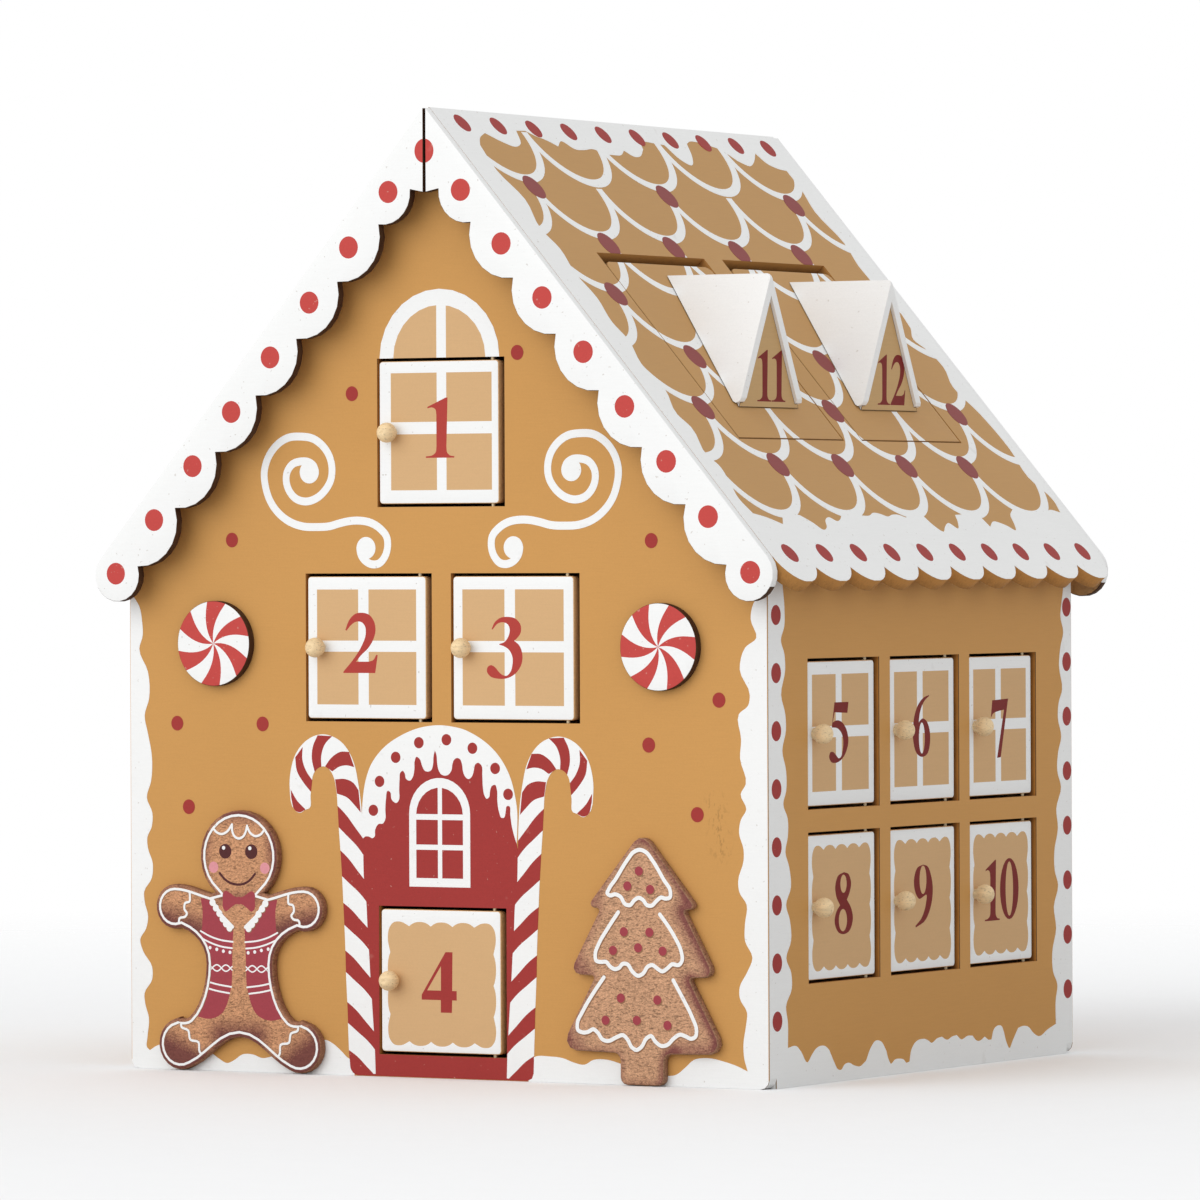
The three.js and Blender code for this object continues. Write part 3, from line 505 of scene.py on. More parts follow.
def finish_board(node, board, outline, thickness, marks, paints, body, rounding, edge_of=None, grid=0.0):
    """A cut-out board that stands for its CAD node, with rounded-over edges and its print let into its face. Its
    paints are those of the face, the edge and the back."""
    face, edge, back = paints
    rounding = min(rounding, thickness / 2 - 0.2)
    border = inset(outline, rounding)
    corners, triangles, names = arrange([mark(face, border), *marks], border, grid=grid)
    used, top = renumbered(triangles)
    spots = [Vector(corners[v]) for v in used]
    rim = border_of(top)
    following = {a: b for a, b in rim}
    before = {b: a for a, b in rim}
    out = {}
    for here in following:
        last, onward = before[here], following[here]
        while (spots[here] - spots[last]).length < 0.12:
            last = before[last]
        while (spots[onward] - spots[here]).length < 0.12:
            onward = following[onward]
        way_in, way_on = (spots[here] - spots[last]).normalized(), (spots[onward] - spots[here]).normalized()
        sum_of = Vector((way_in.y + way_on.y, -way_in.x - way_on.x))
        out[here] = sum_of / max(1 + way_in.dot(way_on), MITRE)
    flat = [(*spot, 0) for spot in spots] + [(*spot, -thickness) for spot in spots]
    count = len(spots)
    faces, paints = top + [tuple(v + count for v in reversed(t)) for t in top], names + [back] * len(top)
    smooth = [False] * len(faces)
    steps = 3
    turns = [math.radians(90 * k / steps) for k in range(1, steps + 1)]
    rings = [(rounding * math.sin(t), -rounding * (1 - math.cos(t))) for t in turns]
    rings += [(aside, -thickness - depth) for aside, depth in reversed(rings)]
    levels = [{v: v for v in following}]
    for aside, height in rings:
        level = {}
        for v in following:
            level[v] = len(flat)
            flat.append((*(spots[v] + out[v] * aside), height))
        levels.append(level)
    levels.append({v: v + count for v in following})
    for (a, b), triangle in rim.items():
        side = edge
        if edge_of:
            middle = (spots[a] + spots[b]) / 2
            way = (spots[b] - spots[a]).normalized()
            side = edge_of(middle, Vector((way.y, -way.x)))
        for step, (upper, lower) in enumerate(zip(levels, levels[1:])):
            faces.append((lower[a], lower[b], upper[b], upper[a]))
            paints.append(names[triangle] if step == 0 else side)
            smooth.append(True)
    rims = from_outline([spot[:2] for spot in flat], outline) if grid else None
    points = [board.at(*spot) for spot in flat]
    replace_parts(make_piece(f"{node}_board", points, faces, paints, body, smooth, rims=rims), node)


def turn_piece(name, base, axis, profile, paint, body, sides=28, crease=40.0):
    """A turned piece from a profile of (radius, height) in millimetres along an axis, closed at both ends."""
    axis = Vector(axis).normalized()
    aside = axis.orthogonal().normalized()
    third = axis.cross(aside)
    points, rings = [], []
    for radius, height in profile:
        middle = Vector(base) + axis * (height * MM)
        if radius < 1e-6:
            rings.append([len(points)])
            points.append(middle)
            continue
        rings.append(list(range(len(points), len(points) + sides)))
        for k in range(sides):
            t = 2 * math.pi * k / sides
            points.append(middle + (aside * math.cos(t) + third * math.sin(t)) * (radius * MM))
    faces = []
    for lower, upper in zip(rings, rings[1:]):
        for k in range(sides):
            a, b = lower[k % len(lower)], lower[(k + 1) % len(lower)]
            c, d = upper[(k + 1) % len(upper)], upper[k % len(upper)]
            faces.append(tuple(dict.fromkeys((a, b, c, d))))
    return make_piece(name, points, faces, [paint] * len(faces), body, True, crease)


# Repeated marks, laid out by Geometry Nodes


def written(operation, turned=False):
    """A method that adds the node of one operator, or of the operator with its two sides turned round."""
    if turned:
        return lambda self, other: self.sum_of(operation, other, self)
    return lambda self, other: self.sum_of(operation, self, other)


class Sum:
    """A socket of a node tree, so that sums of sockets are written as sums."""

    def __init__(self, nodes, socket):
        self.nodes, self.socket = nodes, socket

    def sum_of(self, operation, first, second):
        return self.nodes.add("ShaderNodeMath", {"operation": operation}, {0: first, 1: second})

    __add__ = __radd__ = written("ADD")
    __mul__ = __rmul__ = written("MULTIPLY")
    __sub__, __rsub__ = written("SUBTRACT"), written("SUBTRACT", True)
    __truediv__, __mod__ = written("DIVIDE"), written("MODULO")
    __gt__, __lt__ = written("GREATER_THAN"), written("LESS_THAN")

    def bounded(self, low=0.0, high=1.0):
        return self.sum_of("MINIMUM", self.sum_of("MAXIMUM", self, low), high)


class Nodes:
    """A node tree that is filled node by node."""

    def __init__(self, tree):
        self.tree = tree

    def add(self, kind, settings=None, sockets=None, output=0):
        node = self.tree.nodes.new(kind)
        for key, value in (settings or {}).items():
            setattr(node, key, value)
        for key, value in (sockets or {}).items():
            if isinstance(value, Sum):
                self.tree.links.new(value.socket, node.inputs[key])
            else:
                node.inputs[key].default_value = value
        return Sum(self, node.outputs[output])


def layout_tree(name, inputs):
    """An empty Geometry Nodes tree with named inputs."""
    tree = bpy.data.node_groups.new(name, "GeometryNodeTree")
    tree.interface.new_socket("Geometry", in_out="INPUT", socket_type="NodeSocketGeometry")
    for label, kind in inputs.items():
        tree.interface.new_socket(label, in_out="INPUT", socket_type=kind)
    tree.interface.new_socket("Geometry", in_out="OUTPUT", socket_type="NodeSocketGeometry")
    nodes = Nodes(tree)
    given = tree.nodes.new("NodeGroupInput")
    return nodes, {socket.name: Sum(nodes, socket) for socket in given.outputs if socket.name}


def end_layout(nodes, marks, paint):
    """The end of a tree: instances made real and given their paint."""
    real = nodes.add("GeometryNodeRealizeInstances", None, {0: marks})
    coated = nodes.add("GeometryNodeSetMaterial", None, {"Geometry": real, "Material": paint})
    out = nodes.tree.nodes.new("NodeGroupOutput")
    nodes.tree.links.new(coated.socket, out.inputs[0])
    return nodes.tree


def dotted_line():
    """A tree that spreads round dots evenly along a path."""
    kinds = {"Dots": "NodeSocketInt", "Radius": "NodeSocketFloat", "Corners": "NodeSocketInt"}
    nodes, given = layout_tree("dotted_line", {**kinds, "Paint": "NodeSocketMaterial"})
    path = nodes.add("GeometryNodeMeshToCurve", None, {0: given["Geometry"]})
    spread = nodes.add("GeometryNodeResampleCurve", {"mode": "COUNT"}, {"Curve": path, "Count": given["Dots"]})
    dot = nodes.add(
        "GeometryNodeMeshCircle", {"fill_type": "NGON"}, {"Vertices": given["Corners"], "Radius": given["Radius"]}
    )
    marks = nodes.add("GeometryNodeInstanceOnPoints", None, {"Points": spread, "Instance": dot})
    return end_layout(nodes, marks, given["Paint"])


def scale_rows():
    """A tree that lays one scale out in rows, each row half a scale aside of the row above it."""
    kinds = {"Rows": "NodeSocketInt", "Scales": "NodeSocketInt", "Pitch": "NodeSocketFloat"}
    kinds.update({"Row step": "NodeSocketFloat", "Stagger": "NodeSocketFloat", "Paint": "NodeSocketMaterial"})
    nodes, given = layout_tree("scale_rows", kinds)
    beside = nodes.add("ShaderNodeCombineXYZ", None, {"Y": given["Pitch"]})
    line = nodes.add("GeometryNodeMeshLine", {"mode": "OFFSET"}, {"Count": given["Scales"], "Offset": beside})
    row = nodes.add("GeometryNodeInstanceOnPoints", None, {"Points": line, "Instance": given["Geometry"]})
    below = nodes.add("ShaderNodeCombineXYZ", None, {"X": given["Row step"]})
    starts = nodes.add("GeometryNodeMeshLine", {"mode": "OFFSET"}, {"Count": given["Rows"], "Offset": below})
    odd = nodes.add("GeometryNodeInputIndex") % 2
    aside = nodes.add("ShaderNodeCombineXYZ", None, {"Y": odd * given["Stagger"]})
    starts = nodes.add("GeometryNodeSetPosition", None, {"Geometry": starts, "Offset": aside})
    marks = nodes.add("GeometryNodeInstanceOnPoints", None, {"Points": starts, "Instance": row})
    return end_layout(nodes, marks, given["Paint"])


def laid_out(tree, spots, joined, sizes):
    """Runs a tree on a flat drawing, bakes it to a plain mesh and gives the outlines of its faces."""
    drawing = bpy.data.meshes.new("drawing")
    edges = [(i, i + 1) for i in range(len(spots) - 1)] if joined == "path" else []
    faces = [tuple(range(len(spots)))] if joined == "patch" else []
    drawing.from_pydata([(a, b, 0) for a, b in spots], edges, faces)
    sheet = bpy.data.objects.new("drawing", drawing)
    bpy.context.scene.collection.objects.link(sheet)
    modifier = sheet.modifiers.new("layout", "NODES")
    modifier.node_group = tree
    for item in tree.interface.items_tree:
        if item.in_out == "INPUT" and item.name in sizes:
            modifier[item.identifier] = sizes[item.name]
    bpy.context.view_layer.update()
    baked = bpy.data.meshes.new_from_object(sheet.evaluated_get(bpy.context.evaluated_depsgraph_get()))
    outlines = [[tuple(baked.vertices[v].co[:2]) for v in face.vertices] for face in baked.polygons]
    bpy.data.objects.remove(sheet)
    bpy.data.meshes.remove(drawing)
    bpy.data.meshes.remove(baked)
    if not outlines:
        raise RuntimeError(f"the tree {tree.name} laid nothing out")
    return outlines


def dots_along(paint, spots, count, radius):
    """Round marks spread evenly along a path."""
    tree = bpy.data.node_groups.get("dotted_line") or dotted_line()
    sizes = {"Dots": count, "Radius": radius / MM, "Corners": 24, "Paint": bpy.data.materials[paint]}
    return mark(paint, *laid_out(tree, spots, "path", sizes))


# Finishes

DUST = (0.42, 0.36, 0.30)


def shaded(tone, share):
    """A tone made darker, or lighter if the share is over 1."""
    return [c * share for c in tone]


def specks_of(f, amount):
    """Rare small specks."""
    return (f.noise(640, 1) - 0.745).bounded(0, 0.02) * amount


class Finish(Nodes):
    """The nodes of one finish. Patterns are on Object coordinates, with sizes in features to the metre."""

    def __init__(self, name):
        self.material = bpy.data.materials.new(name)
        self.material.use_nodes = True
        super().__init__(self.material.node_tree)
        self.tree.nodes.clear()
        self.spot = self.add("ShaderNodeTexCoord", None, None, "Object")

    def noise(self, scale, detail=2.0, roughness=0.5, distortion=0.0):
        place = self.spot
        if isinstance(scale, tuple):
            place = self.add("ShaderNodeMapping", {"vector_type": "POINT"}, {"Vector": self.spot, "Scale": scale})
            scale = 1.0
        sockets = {"Vector": place, "Scale": scale, "Detail": detail, "Roughness": roughness}
        return self.add("ShaderNodeTexNoise", None, {**sockets, "Distortion": distortion})

    def mix(self, share, first, second):
        tones = [t if isinstance(t, Sum) else (*t[:3], 1.0) for t in (first, second)]
        return self.add("ShaderNodeMix", {"data_type": "RGBA"}, {0: share, 6: tones[0], 7: tones[1]}, 2)

    def vector(self, operation, first, second=(0, 0, 0), output="Vector"):
        sockets = {k: v if isinstance(v, Sum) else tuple(v[:3]) for k, v in ((0, first), (1, second))}
        return self.add("ShaderNodeVectorMath", {"operation": operation}, sockets, output)

    def toned(self, tone, factor):
        tone = tone if isinstance(tone, Sum) else tuple(tone[:3])
        return self.add("ShaderNodeVectorMath", {"operation": "SCALE"}, {0: tone, "Scale": factor})

    def height_over(self, board):
        """Millimetres that a spot is outside a board's face."""
        return self.vector("DOT_PRODUCT", self.spot, board.out, "Value") * (1 / MM) - board.corner.dot(board.out)

    def near(self, start, end, reach):
        """1 on the line between two spots, falling to 0 at its reach, in millimetres."""
        start, way = Vector(start) * MM, (Vector(end) - Vector(start)) * MM
        away = self.vector("SUBTRACT", self.spot, start)
        if way.length > 0:
            share = self.vector("DOT_PRODUCT", away, way / way.length_squared, "Value").bounded()
            away = self.vector("SUBTRACT", away, self.toned(way, share))
        return (1 - self.vector("LENGTH", away, output="Value") / (reach * MM)).bounded()

    def done(self, tone, roughness, height=None, relief=0.05, metallic=0.0, gloss=0.12):
        """Ends the finish. The relief is in millimetres."""
        sockets = {"Roughness": roughness, "Metallic": metallic, "Specular IOR Level": gloss}
        sockets["Base Color"] = tone if isinstance(tone, Sum) else (*tone[:3], 1.0)
        if height is not None:
            sockets["Normal"] = self.add("ShaderNodeBump", None, {"Height": height, "Distance": relief * MM})
        surface = self.add("ShaderNodeBsdfPrincipled", None, sockets)
        self.add_end(surface)
        return self.material

    def add_end(self, surface):
        end = self.tree.nodes.new("ShaderNodeOutputMaterial")
        self.tree.links.new(surface.socket, end.inputs["Surface"])


def coat(f, tone, cloud=0.07, streak=0.07, grain=0.08, roughness=0.55):
    """A thin matt coat: faint clouds, fine level brush streaks and a slightly grainy surface."""
    clouds = f.noise(19, 3)
    streaks = f.noise((90, 90, 1900), 3)
    grains = f.noise(1300, 2)
    factor = (clouds - 0.5) * cloud + (streaks - 0.5) * streak + (grains - 0.5) * grain + 1
    return f.toned(tone, factor), (grains - 0.5) * 0.16 + roughness, streaks * 0.5 + grains * 0.5


def bare_board(f, tone):
    """Fibreboard: short tangled fibres and dark flecks."""
    fibres = f.noise((600, 600, 900), 4, 0.62, 0.6)
    flecks = f.noise(420, 2)
    dark = (flecks - 0.60).bounded(0, 0.2) * 2.2
    mottled = f.toned(tone, (fibres - 0.5) * 0.5 + f.noise(30, 2) * 0.16 + 0.92)
    return f.mix(dark, mottled, shaded(tone, 0.45)), fibres * 0.2 + 0.68, fibres


def burnt_edge(f, tone, board_tone):
    """A laser-cut edge: charred almost black, browner where the char is thin, with upright scorch lines."""
    char = f.noise((260, 260, 120), 3)
    lines = f.noise((1400, 1400, 60), 2)
    thin = ((char - 0.42) * 2.4 + (lines - 0.5) * 0.8).bounded() * 0.32
    return f.mix(thin, tone, shaded(board_tone, 0.42)), char * 0.3 + 0.55, lines * 0.6 + char * 0.4


def paint_finish(name, tone, roughness=0.55, specks=0.0, speck_tone=DUST, **amounts):
    """A plain coat of paint or print, with rare small specks where it is worn or dusty."""
    f = Finish(name)
    shade, rough, height = coat(f, tone, roughness=roughness, **amounts)
    if specks:
        spots = specks_of(f, 50 * specks)
        worn = (f.noise(95, 3) - 0.70).bounded(0, 0.05) * (12 * specks)
        shade = f.mix(worn, f.mix(spots, shade, speck_tone), [(a + b) / 2 for a, b in zip(tone, speck_tone)])
    return f.done(shade, rough, height)


def wall_finish(name, board, tone, paints, spray, rims=(), scuffs=()):
    """A wall or roof board: paint on its face and, to the depth of the spray, on its charred cut edges, bare board
    inside. Rims are (board, depth, tone) of edges of another tone; scuffs are (start, end, reach) on the face."""
    f = Finish(name)
    shade, rough, height = coat(f, tone)
    for start, end, reach in scuffs:
        scratches = (f.noise((900, 900, 420), 3) - 0.56).bounded(0, 0.08) * 12
        shade = f.mix(f.near(start, end, reach) * scratches * 0.5, shade, shaded(tone, 0.45))
    bare, bare_rough, fibres = bare_board(f, paints.board)
    char, char_rough, patches = burnt_edge(f, paints.cut_edge, paints.board)
    over = f.height_over(board)
    face, inner = over > -0.06, over < 0.06 - WALL
    covered = (over / spray + 1.15 + (patches - 0.5) * 0.9).bounded()
    edge = f.mix(covered, char, [a * b for a, b in zip(tone, (1.0, 0.84, 0.62))])
    for other, depth, rim_tone in rims:
        edge = f.mix(f.height_over(other) > -depth, edge, f.toned(rim_tone, patches * 0.2 + 0.9))
    shade = f.mix(face, f.mix(inner, edge, bare), shade)
    rough = face * rough + (1 - face) * (inner * bare_rough + (1 - inner) * char_rough)
    return f.done(shade, rough, face * height + (1 - face) * fibres)


def cookie_finish(name, tone, burnt, dark_lines, rim_strength=0.55):
    """Baked dough: short level cracks, a grainy crumb, and darker baked edges that dissolve into grains. Dark lines
    are (start, end, reach, strength) on the face."""
    f = Finish(name)
    crumb = f.noise((1150, 1150, 1900), 5, 0.75)
    cracks = f.noise((480, 480, 1400), 4, 0.7, 0.9)
    crack = ((cracks - 0.535) * 9).bounded()
    light = ((crumb - 0.54) * 7).bounded()
    baked = f.noise(70, 3)
    rim = f.add("ShaderNodeAttribute", {"attribute_name": "rim"}, None, "Fac")
    dark = (1 - rim / 3.4).bounded() * rim_strength
    for start, end, reach, strength in dark_lines:
        dark = dark + f.near(CUTOUTS.at(*start) / MM, CUTOUTS.at(*end) / MM, reach) * strength
    grains = f.noise(1500, 2)
    dark = (dark * (baked * 0.8 + 0.8) + (grains - 0.5) * dark.bounded(0, 0.5) * 2.4).bounded(0, 0.94)
    shade = f.toned(tone, (crumb - 0.5) * 2.6 + (baked - 0.5) * 0.25 + 1.12)
    shade = f.mix(light * 0.22, shade, [min(1, c * 1.5) for c in tone])
    shade = f.mix(crack * 0.72, shade, shaded(tone, 0.32))
    shade = f.mix(dark, shade, burnt)
    return f.done(shade, crumb * 0.2 + 0.6, crumb * 0.5 - crack * 0.8, 0.12)


def knob_finish(name, tone):
    """Turned beech: level grain, short dark pores and a soft waxed gloss."""
    f = Finish(name)
    grain = f.noise((160, 160, 900), 3, 0.6, 0.6)
    pores = ((f.noise((900, 900, 2000), 2) - 0.57) * 9).bounded()
    rings = f.noise((60, 60, 260), 2)
    shade = f.toned(tone, (grain - 0.5) * 0.5 + (rings - 0.5) * 0.35 + 1.02)
    shade = f.mix(pores * 0.55, shade, shaded(tone, 0.45))
    return f.done(shade, grain * 0.2 + 0.42, grain * 0.6 - pores * 0.4, 0.06, gloss=0.4)


def steel_finish(name, tone):
    """Drawn steel with fine lines along the rod."""
    f = Finish(name)
    lines = f.noise(900, 3)
    return f.done(f.toned(tone, (lines - 0.5) * 0.3 + 1), lines * 0.2 + 0.3, lines, 0.02, metallic=1.0, gloss=0.5)


def dormer_finish(name, board, paints):
    """White boards, dark in the char tone for their lowest 0.35 mm over the lid: the charred cut faces of their feet,
    and a band of painted shade up the white faces where they meet the lid.
    """
    f = Finish(name)
    shade, rough, height = coat(f, paints.icing, streak=0.05, cloud=0.06)
    shade = f.mix(specks_of(f, 16), shade, DUST)
    char, char_rough, _ = burnt_edge(f, paints.cut_edge, paints.board)
    # the lowest 0.35 mm over the lid: charred cut feet, and painted shade on the white faces where they meet the lid
    foot = f.height_over(board) < 0.35
    return f.done(f.mix(foot, shade, char), foot * char_rough + (1 - foot) * rough, height)


MAN_DARK = [((-132, 60), (-115, 56), 10, 1.1), ((-75, 56), (-58, 60), 10, 1.15), ((-134, 10), (-114, 1), 10, 1.1)]
MAN_DARK += [((-70, 1), (-55, 12), 11, 1.15), ((-104, 15), (-86, 15), 8, 0.85), ((-111, 50), (-109, 36), 3, 0.5)]
MAN_DARK += [((-79, 50), (-81, 36), 3.5, 0.6), ((-112, 82), (-110, 95), 4, 0.45), ((-78, 82), (-79, 95), 4.5, 0.6)]
MAN_DARK += [((-104, 71), (-86, 71), 4, 0.5), ((-100, 105), (-88, 105), 5, 0.5)]
TREE_DARK = [((98, 98), (118, 74), 4.5, 0.45), ((112, 69), (126, 46), 5.5, 0.55), ((116, 42), (131, 17), 6, 0.6)]
TREE_DARK += [((108, 12), (106, 1), 6, 0.75), ((71, 73), (75, 73), 4, 0.3), ((62, 47), (68, 47), 6, 0.45)]
TREE_DARK += [((58, 18), (64, 17), 6.5, 0.5), ((94, 101), (94, 99), 6, 0.5), ((114, 74), (119, 73), 5, 0.5)]
TREE_DARK += [((110, 16), (128, 16), 4, 0.35)]


class HOUSE_OT_mix_paints(Operator):
    """Mixes every paint, print and wood finish."""

    bl_idname = "house.mix_paints"
    bl_label = "Mix paints"

    def execute(self, context):
        p = context.scene.house_paints
        chips = {"specks": 0.35, "speck_tone": (0.70, 0.46, 0.38), "cloud": 0.10, "grain": 0.16}
        paint_finish("wall_tan", p.wall_tan)
        paint_finish("roof_tan", p.roof_tan)
        paint_finish("icing", p.icing, 0.5, specks=0.4, cloud=0.05, streak=0.05, grain=0.04)
        paint_finish("pane", p.pane, cloud=0.05)
        paint_finish("gable_tan", p.gable_tan, streak=0.12)
        paint_finish("maroon", p.maroon, 0.5, **chips)
        paint_finish("plain_maroon", p.maroon, 0.5, cloud=0.10, grain=0.16)
        paint_finish("red", p.red, 0.5, **chips)
        paint_finish("numeral_red", p.numeral, 0.5, cloud=0.10, grain=0.12)
        paint_finish("numeral_maroon", p.dark_numeral, 0.5, cloud=0.10, grain=0.12)
        paint_finish("roof_dot", p.roof_dot, cloud=0.10, grain=0.16)
        paint_finish("vest", p.vest, cloud=0.10, grain=0.20)
        paint_finish("cheek", p.cheek, cloud=0.2, grain=0.2)
        paint_finish("eye", p.eye, 0.4, cloud=0.2, grain=0.2)
        paint_finish("icing_shade", shaded(p.cookie, 0.55), cloud=0.2, grain=0.3)
        lid_edge = [(a + 2 * b) / 3 for a, b in zip(p.cut_edge, p.roof_tan)]
        for name, finish, *tones in (
            ("board", bare_board, p.board),
            # door edges: the bare board painted 1.9 times lighter, painted light standing in for the light that the
            # narrow gaps round the doors keep out
            ("door_edge", bare_board, shaded(p.board, 1.9)),
            ("cut_edge", burnt_edge, p.cut_edge, p.board),
            ("lid_edge", burnt_edge, lid_edge, p.board),
        ):
            f = Finish(name)
            shade, rough, height = finish(f, *tones)
            f.done(shade, rough, height, 0.08)
        cookie_finish("cookie", p.cookie, p.burnt_cookie, MAN_DARK)
        cookie_finish("tree_cookie", p.tree_cookie, shaded(p.burnt_cookie, 1.25), TREE_DARK, 0.4)
        cookie_finish("cookie_edge", shaded(p.cookie, 0.62), p.burnt_cookie, (), 0.25)
        cookie_finish("tree_edge", shaded(p.tree_cookie, 0.72), p.burnt_cookie, (), 0.2)
        knob_finish("knob_wood", p.knob)
        steel_finish("steel", p.steel)
        scuffs = [(FRONT.at(126, 112) / MM, FRONT.at(129, 94) / MM, 7)]
        seam = shaded(p.board, 0.5)
        ridge = [(Board((0, 0, RIDGE), (1, 0, 0), (0, 1, 0)), RIDGE_RIM, p.icing)]
        for side, board in WALLS.items():
            beside = (RIGHT, LEFT) if side in END_WALLS else (FRONT, BACK)
            ends = [(other, SIDE_RIM if side in END_WALLS else END_RIM, p.icing) for other in beside]
            ends.append((board, SEAM, seam))
            wall_finish(f"{side}_wall_board", board, p.wall_tan, p, WALL_SPRAY, ends, scuffs if side == "front" else ())
        for side, board in ROOFS.items():
            wall_finish(f"{side}_roof_board", board, p.roof_tan, p, ROOF_SPRAY, ridge)
            dormer_finish(f"{side}_dormer_boards", board, p)
        return {"FINISHED"}


# Prints of the front wall

LEFT_BORDER = (
    "~ -148.7,194.5 -145.5,190 -144,183 -143.8,178 -145.5,172.5 -141.3,163 -140.8,152 -143,145 -141.5,138 -139.5,128 "
    "-140,118 -142.1,111.3 -139.4,105 -139.8,99.2 -141.9,95 -141.7,90.8 -139.3,84.2 -139.8,78.3 -143.6,72.5 "
    "-143.3,68.3 -141.7,62.5 -142.7,57.5 -145.6,52.9 -144.3,48.3 -139.8,41.7 -139.8,36.7 -143.6,30.8 -143.3,26.7 "
    "-141.5,20.8 -142.3,12.5 -142.5,8.75 -141.1,7.5"
)
SNOW_LEFT = (
    "~ -141.1,7.5 -137.3,9.6 -132,10.6 -126,10.8 -118,10.4 -112,8 -107.3,5 -103.1,3.3 -100.6,4.2 -95.6,7.1 -90.6,7.1 "
    "-86.3,5.8 -82,6.5 -76,8 -70,7.8 -65,10 -60,13 -55.5,14 -52,12.5 -48,9.5 -45,7 -42,6"
)
SNOW_RIGHT = (
    "~ 40,8 42.5,9.8 50,10.3 56,9.8 61,8.2 66,7.5 70,9.5 76,9.8 82.7,8.3 92,5.5 102.7,4.2 107.7,4.6 111.9,7.5 "
    "116,10.8 121.9,11.7 130.2,10.4 136,8.75 140.4,6.9"
)
RIGHT_BORDER = (
    "~ 140.4,6.9 138.9,11.7 138.5,17.5 139.7,25 140.2,30 136.9,35.8 136.9,40 140.2,45.8 142.7,51.7 139.4,58.3 "
    "139.4,65 140.2,72.5 136.9,77.5 136.4,81.7 138.9,90 138.9,94.2 136.9,100.8 137.7,105.8 140.2,110 137.7,116 "
    "140,120 137.5,130 138,137.5 137,147.5 141.25,151 142,155 137.5,165 140,173.75 145,177.5 142.5,185 143.75,191 "
    "148,196"
)
STREWN_DOTS = "-42,276 36,291.5 -100,217 97.5,216 -127,142 -85.5,142 128,153 96,135 -121.5,107.8 118,107.7"
SCROLL = (
    "57.9,244.6 58.8,246.9 61.2,248.5 64.9,248.8 69.1,247.6 71.6,244.4 72,240.9 70.6,236.9 67.4,233.7 62.7,232.5 "
    "57.7,233.7 53.4,236.9 50.6,241.2 50,245.9 51.3,250.9 54.5,255.1 59.1,258 64.9,258.9 71.3,258.4 77,255.1 "
    "80.9,250.1 82.6,244.4 82,238.7 79.9,233 75.9,228 70.6,224.4 64.1,222.4 57.7,222.1 51.3,222.4 46.3,223.6 42,224.4 "
    "37,224.6 31.3,223.6 27,221.2 24.1,218 23.6,214.4 24.9,210.1 27.7,207.3 30.9,206.9 34.4,208.4 36.4,211 36.9,213.5"
)
CANE_OUTSIDE = (
    "~ -65,107.3 -67.8,106 -70,107 -72.5,116 -72,123 -69.5,130 -65,135 -60,137.5 -56,138 -52,137.2 -48,135.2 -44,131 "
    "-41.5,126 -39.8,119 -38.5,111 -37.8,102 -37.4,90 -37,78 -36,70 -35.5,60 -34.8,50 -34.2,40 -33.5,30 -32.8,20 "
    "-32.2,10 -31.9,1"
)
CANE_INSIDE = (
    "~ -65,107.3 -63,108 -62.5,113 -62,117 -61,122 -59,124.2 -56,125 -53.5,123.8 -51.5,121 -50.2,116 -49.5,108 "
    "-49,100 -48.2,90 -47.4,78 -46.8,66 -46.2,54 -45.8,40 -45.2,28 -44.8,16 -44.2,6 -43.6,2.4 -41.6,0.4"
)
CANE_STRIPES = [
    "-49.2,108.8 -37.8,96.5 -37.7,89.8 -48.8,100.2",
    "-48.2,91 -37,79.5 -36,70.5 -47.5,80.5",
    "-47,69.8 -35.5,60 -34.8,51 -46.7,61",
    "-45.8,50.3 -34.2,39.8 -33.8,31.5 -45.5,41.5",
    "-44.7,29.3 -33,18.5 -32.4,11 -44.3,20.7",
    "-43.8,9.8 -33.5,1.5 -33,-6 -43.2,-6",
]
CANE_BENDS = [
    "~ -50.7,119.8 -46,120 -42,118.5 -39.5,115.5; ~ -38.5,106.5 -41,109 -45,112.5 -49.8,114",
    "~ -55.5,125 -52.5,128.5 -48,131 -44,131; ~ -41.5,124.8 -45,125.5 -48.5,125 -52,123",
    "~ -60.5,122.8 -61.8,128 -61.3,133 -59,137.6; ~ -52,137.3 -55.5,134 -57.3,129 -57.2,124.8",
    "~ -62.2,114.5 -66,118.5 -69,123 -69.8,128.5; ~ -66.2,132.8 -66.3,127.5 -64.5,123 -61.5,119.2",
    "~ -65,107.5 -69,111 -72,115.5; ~ -71.8,112 -70,107 -67.8,106.2 -65.2,107.2",
]
CAP_OUTSIDE = (
    "~ -38.2,98 -38,105 -37.5,112 -36,120 -33.5,126 -30,130.5 -26,134 -20,137.5 -12,140.6 -5,141.9 0,142.1 5,141.6 "
    "10,140.6 15,138.6 20,135.8 25,131.8 29,127 32,121.5 34,115 35.2,108 35.2,101 34.9,95"
)
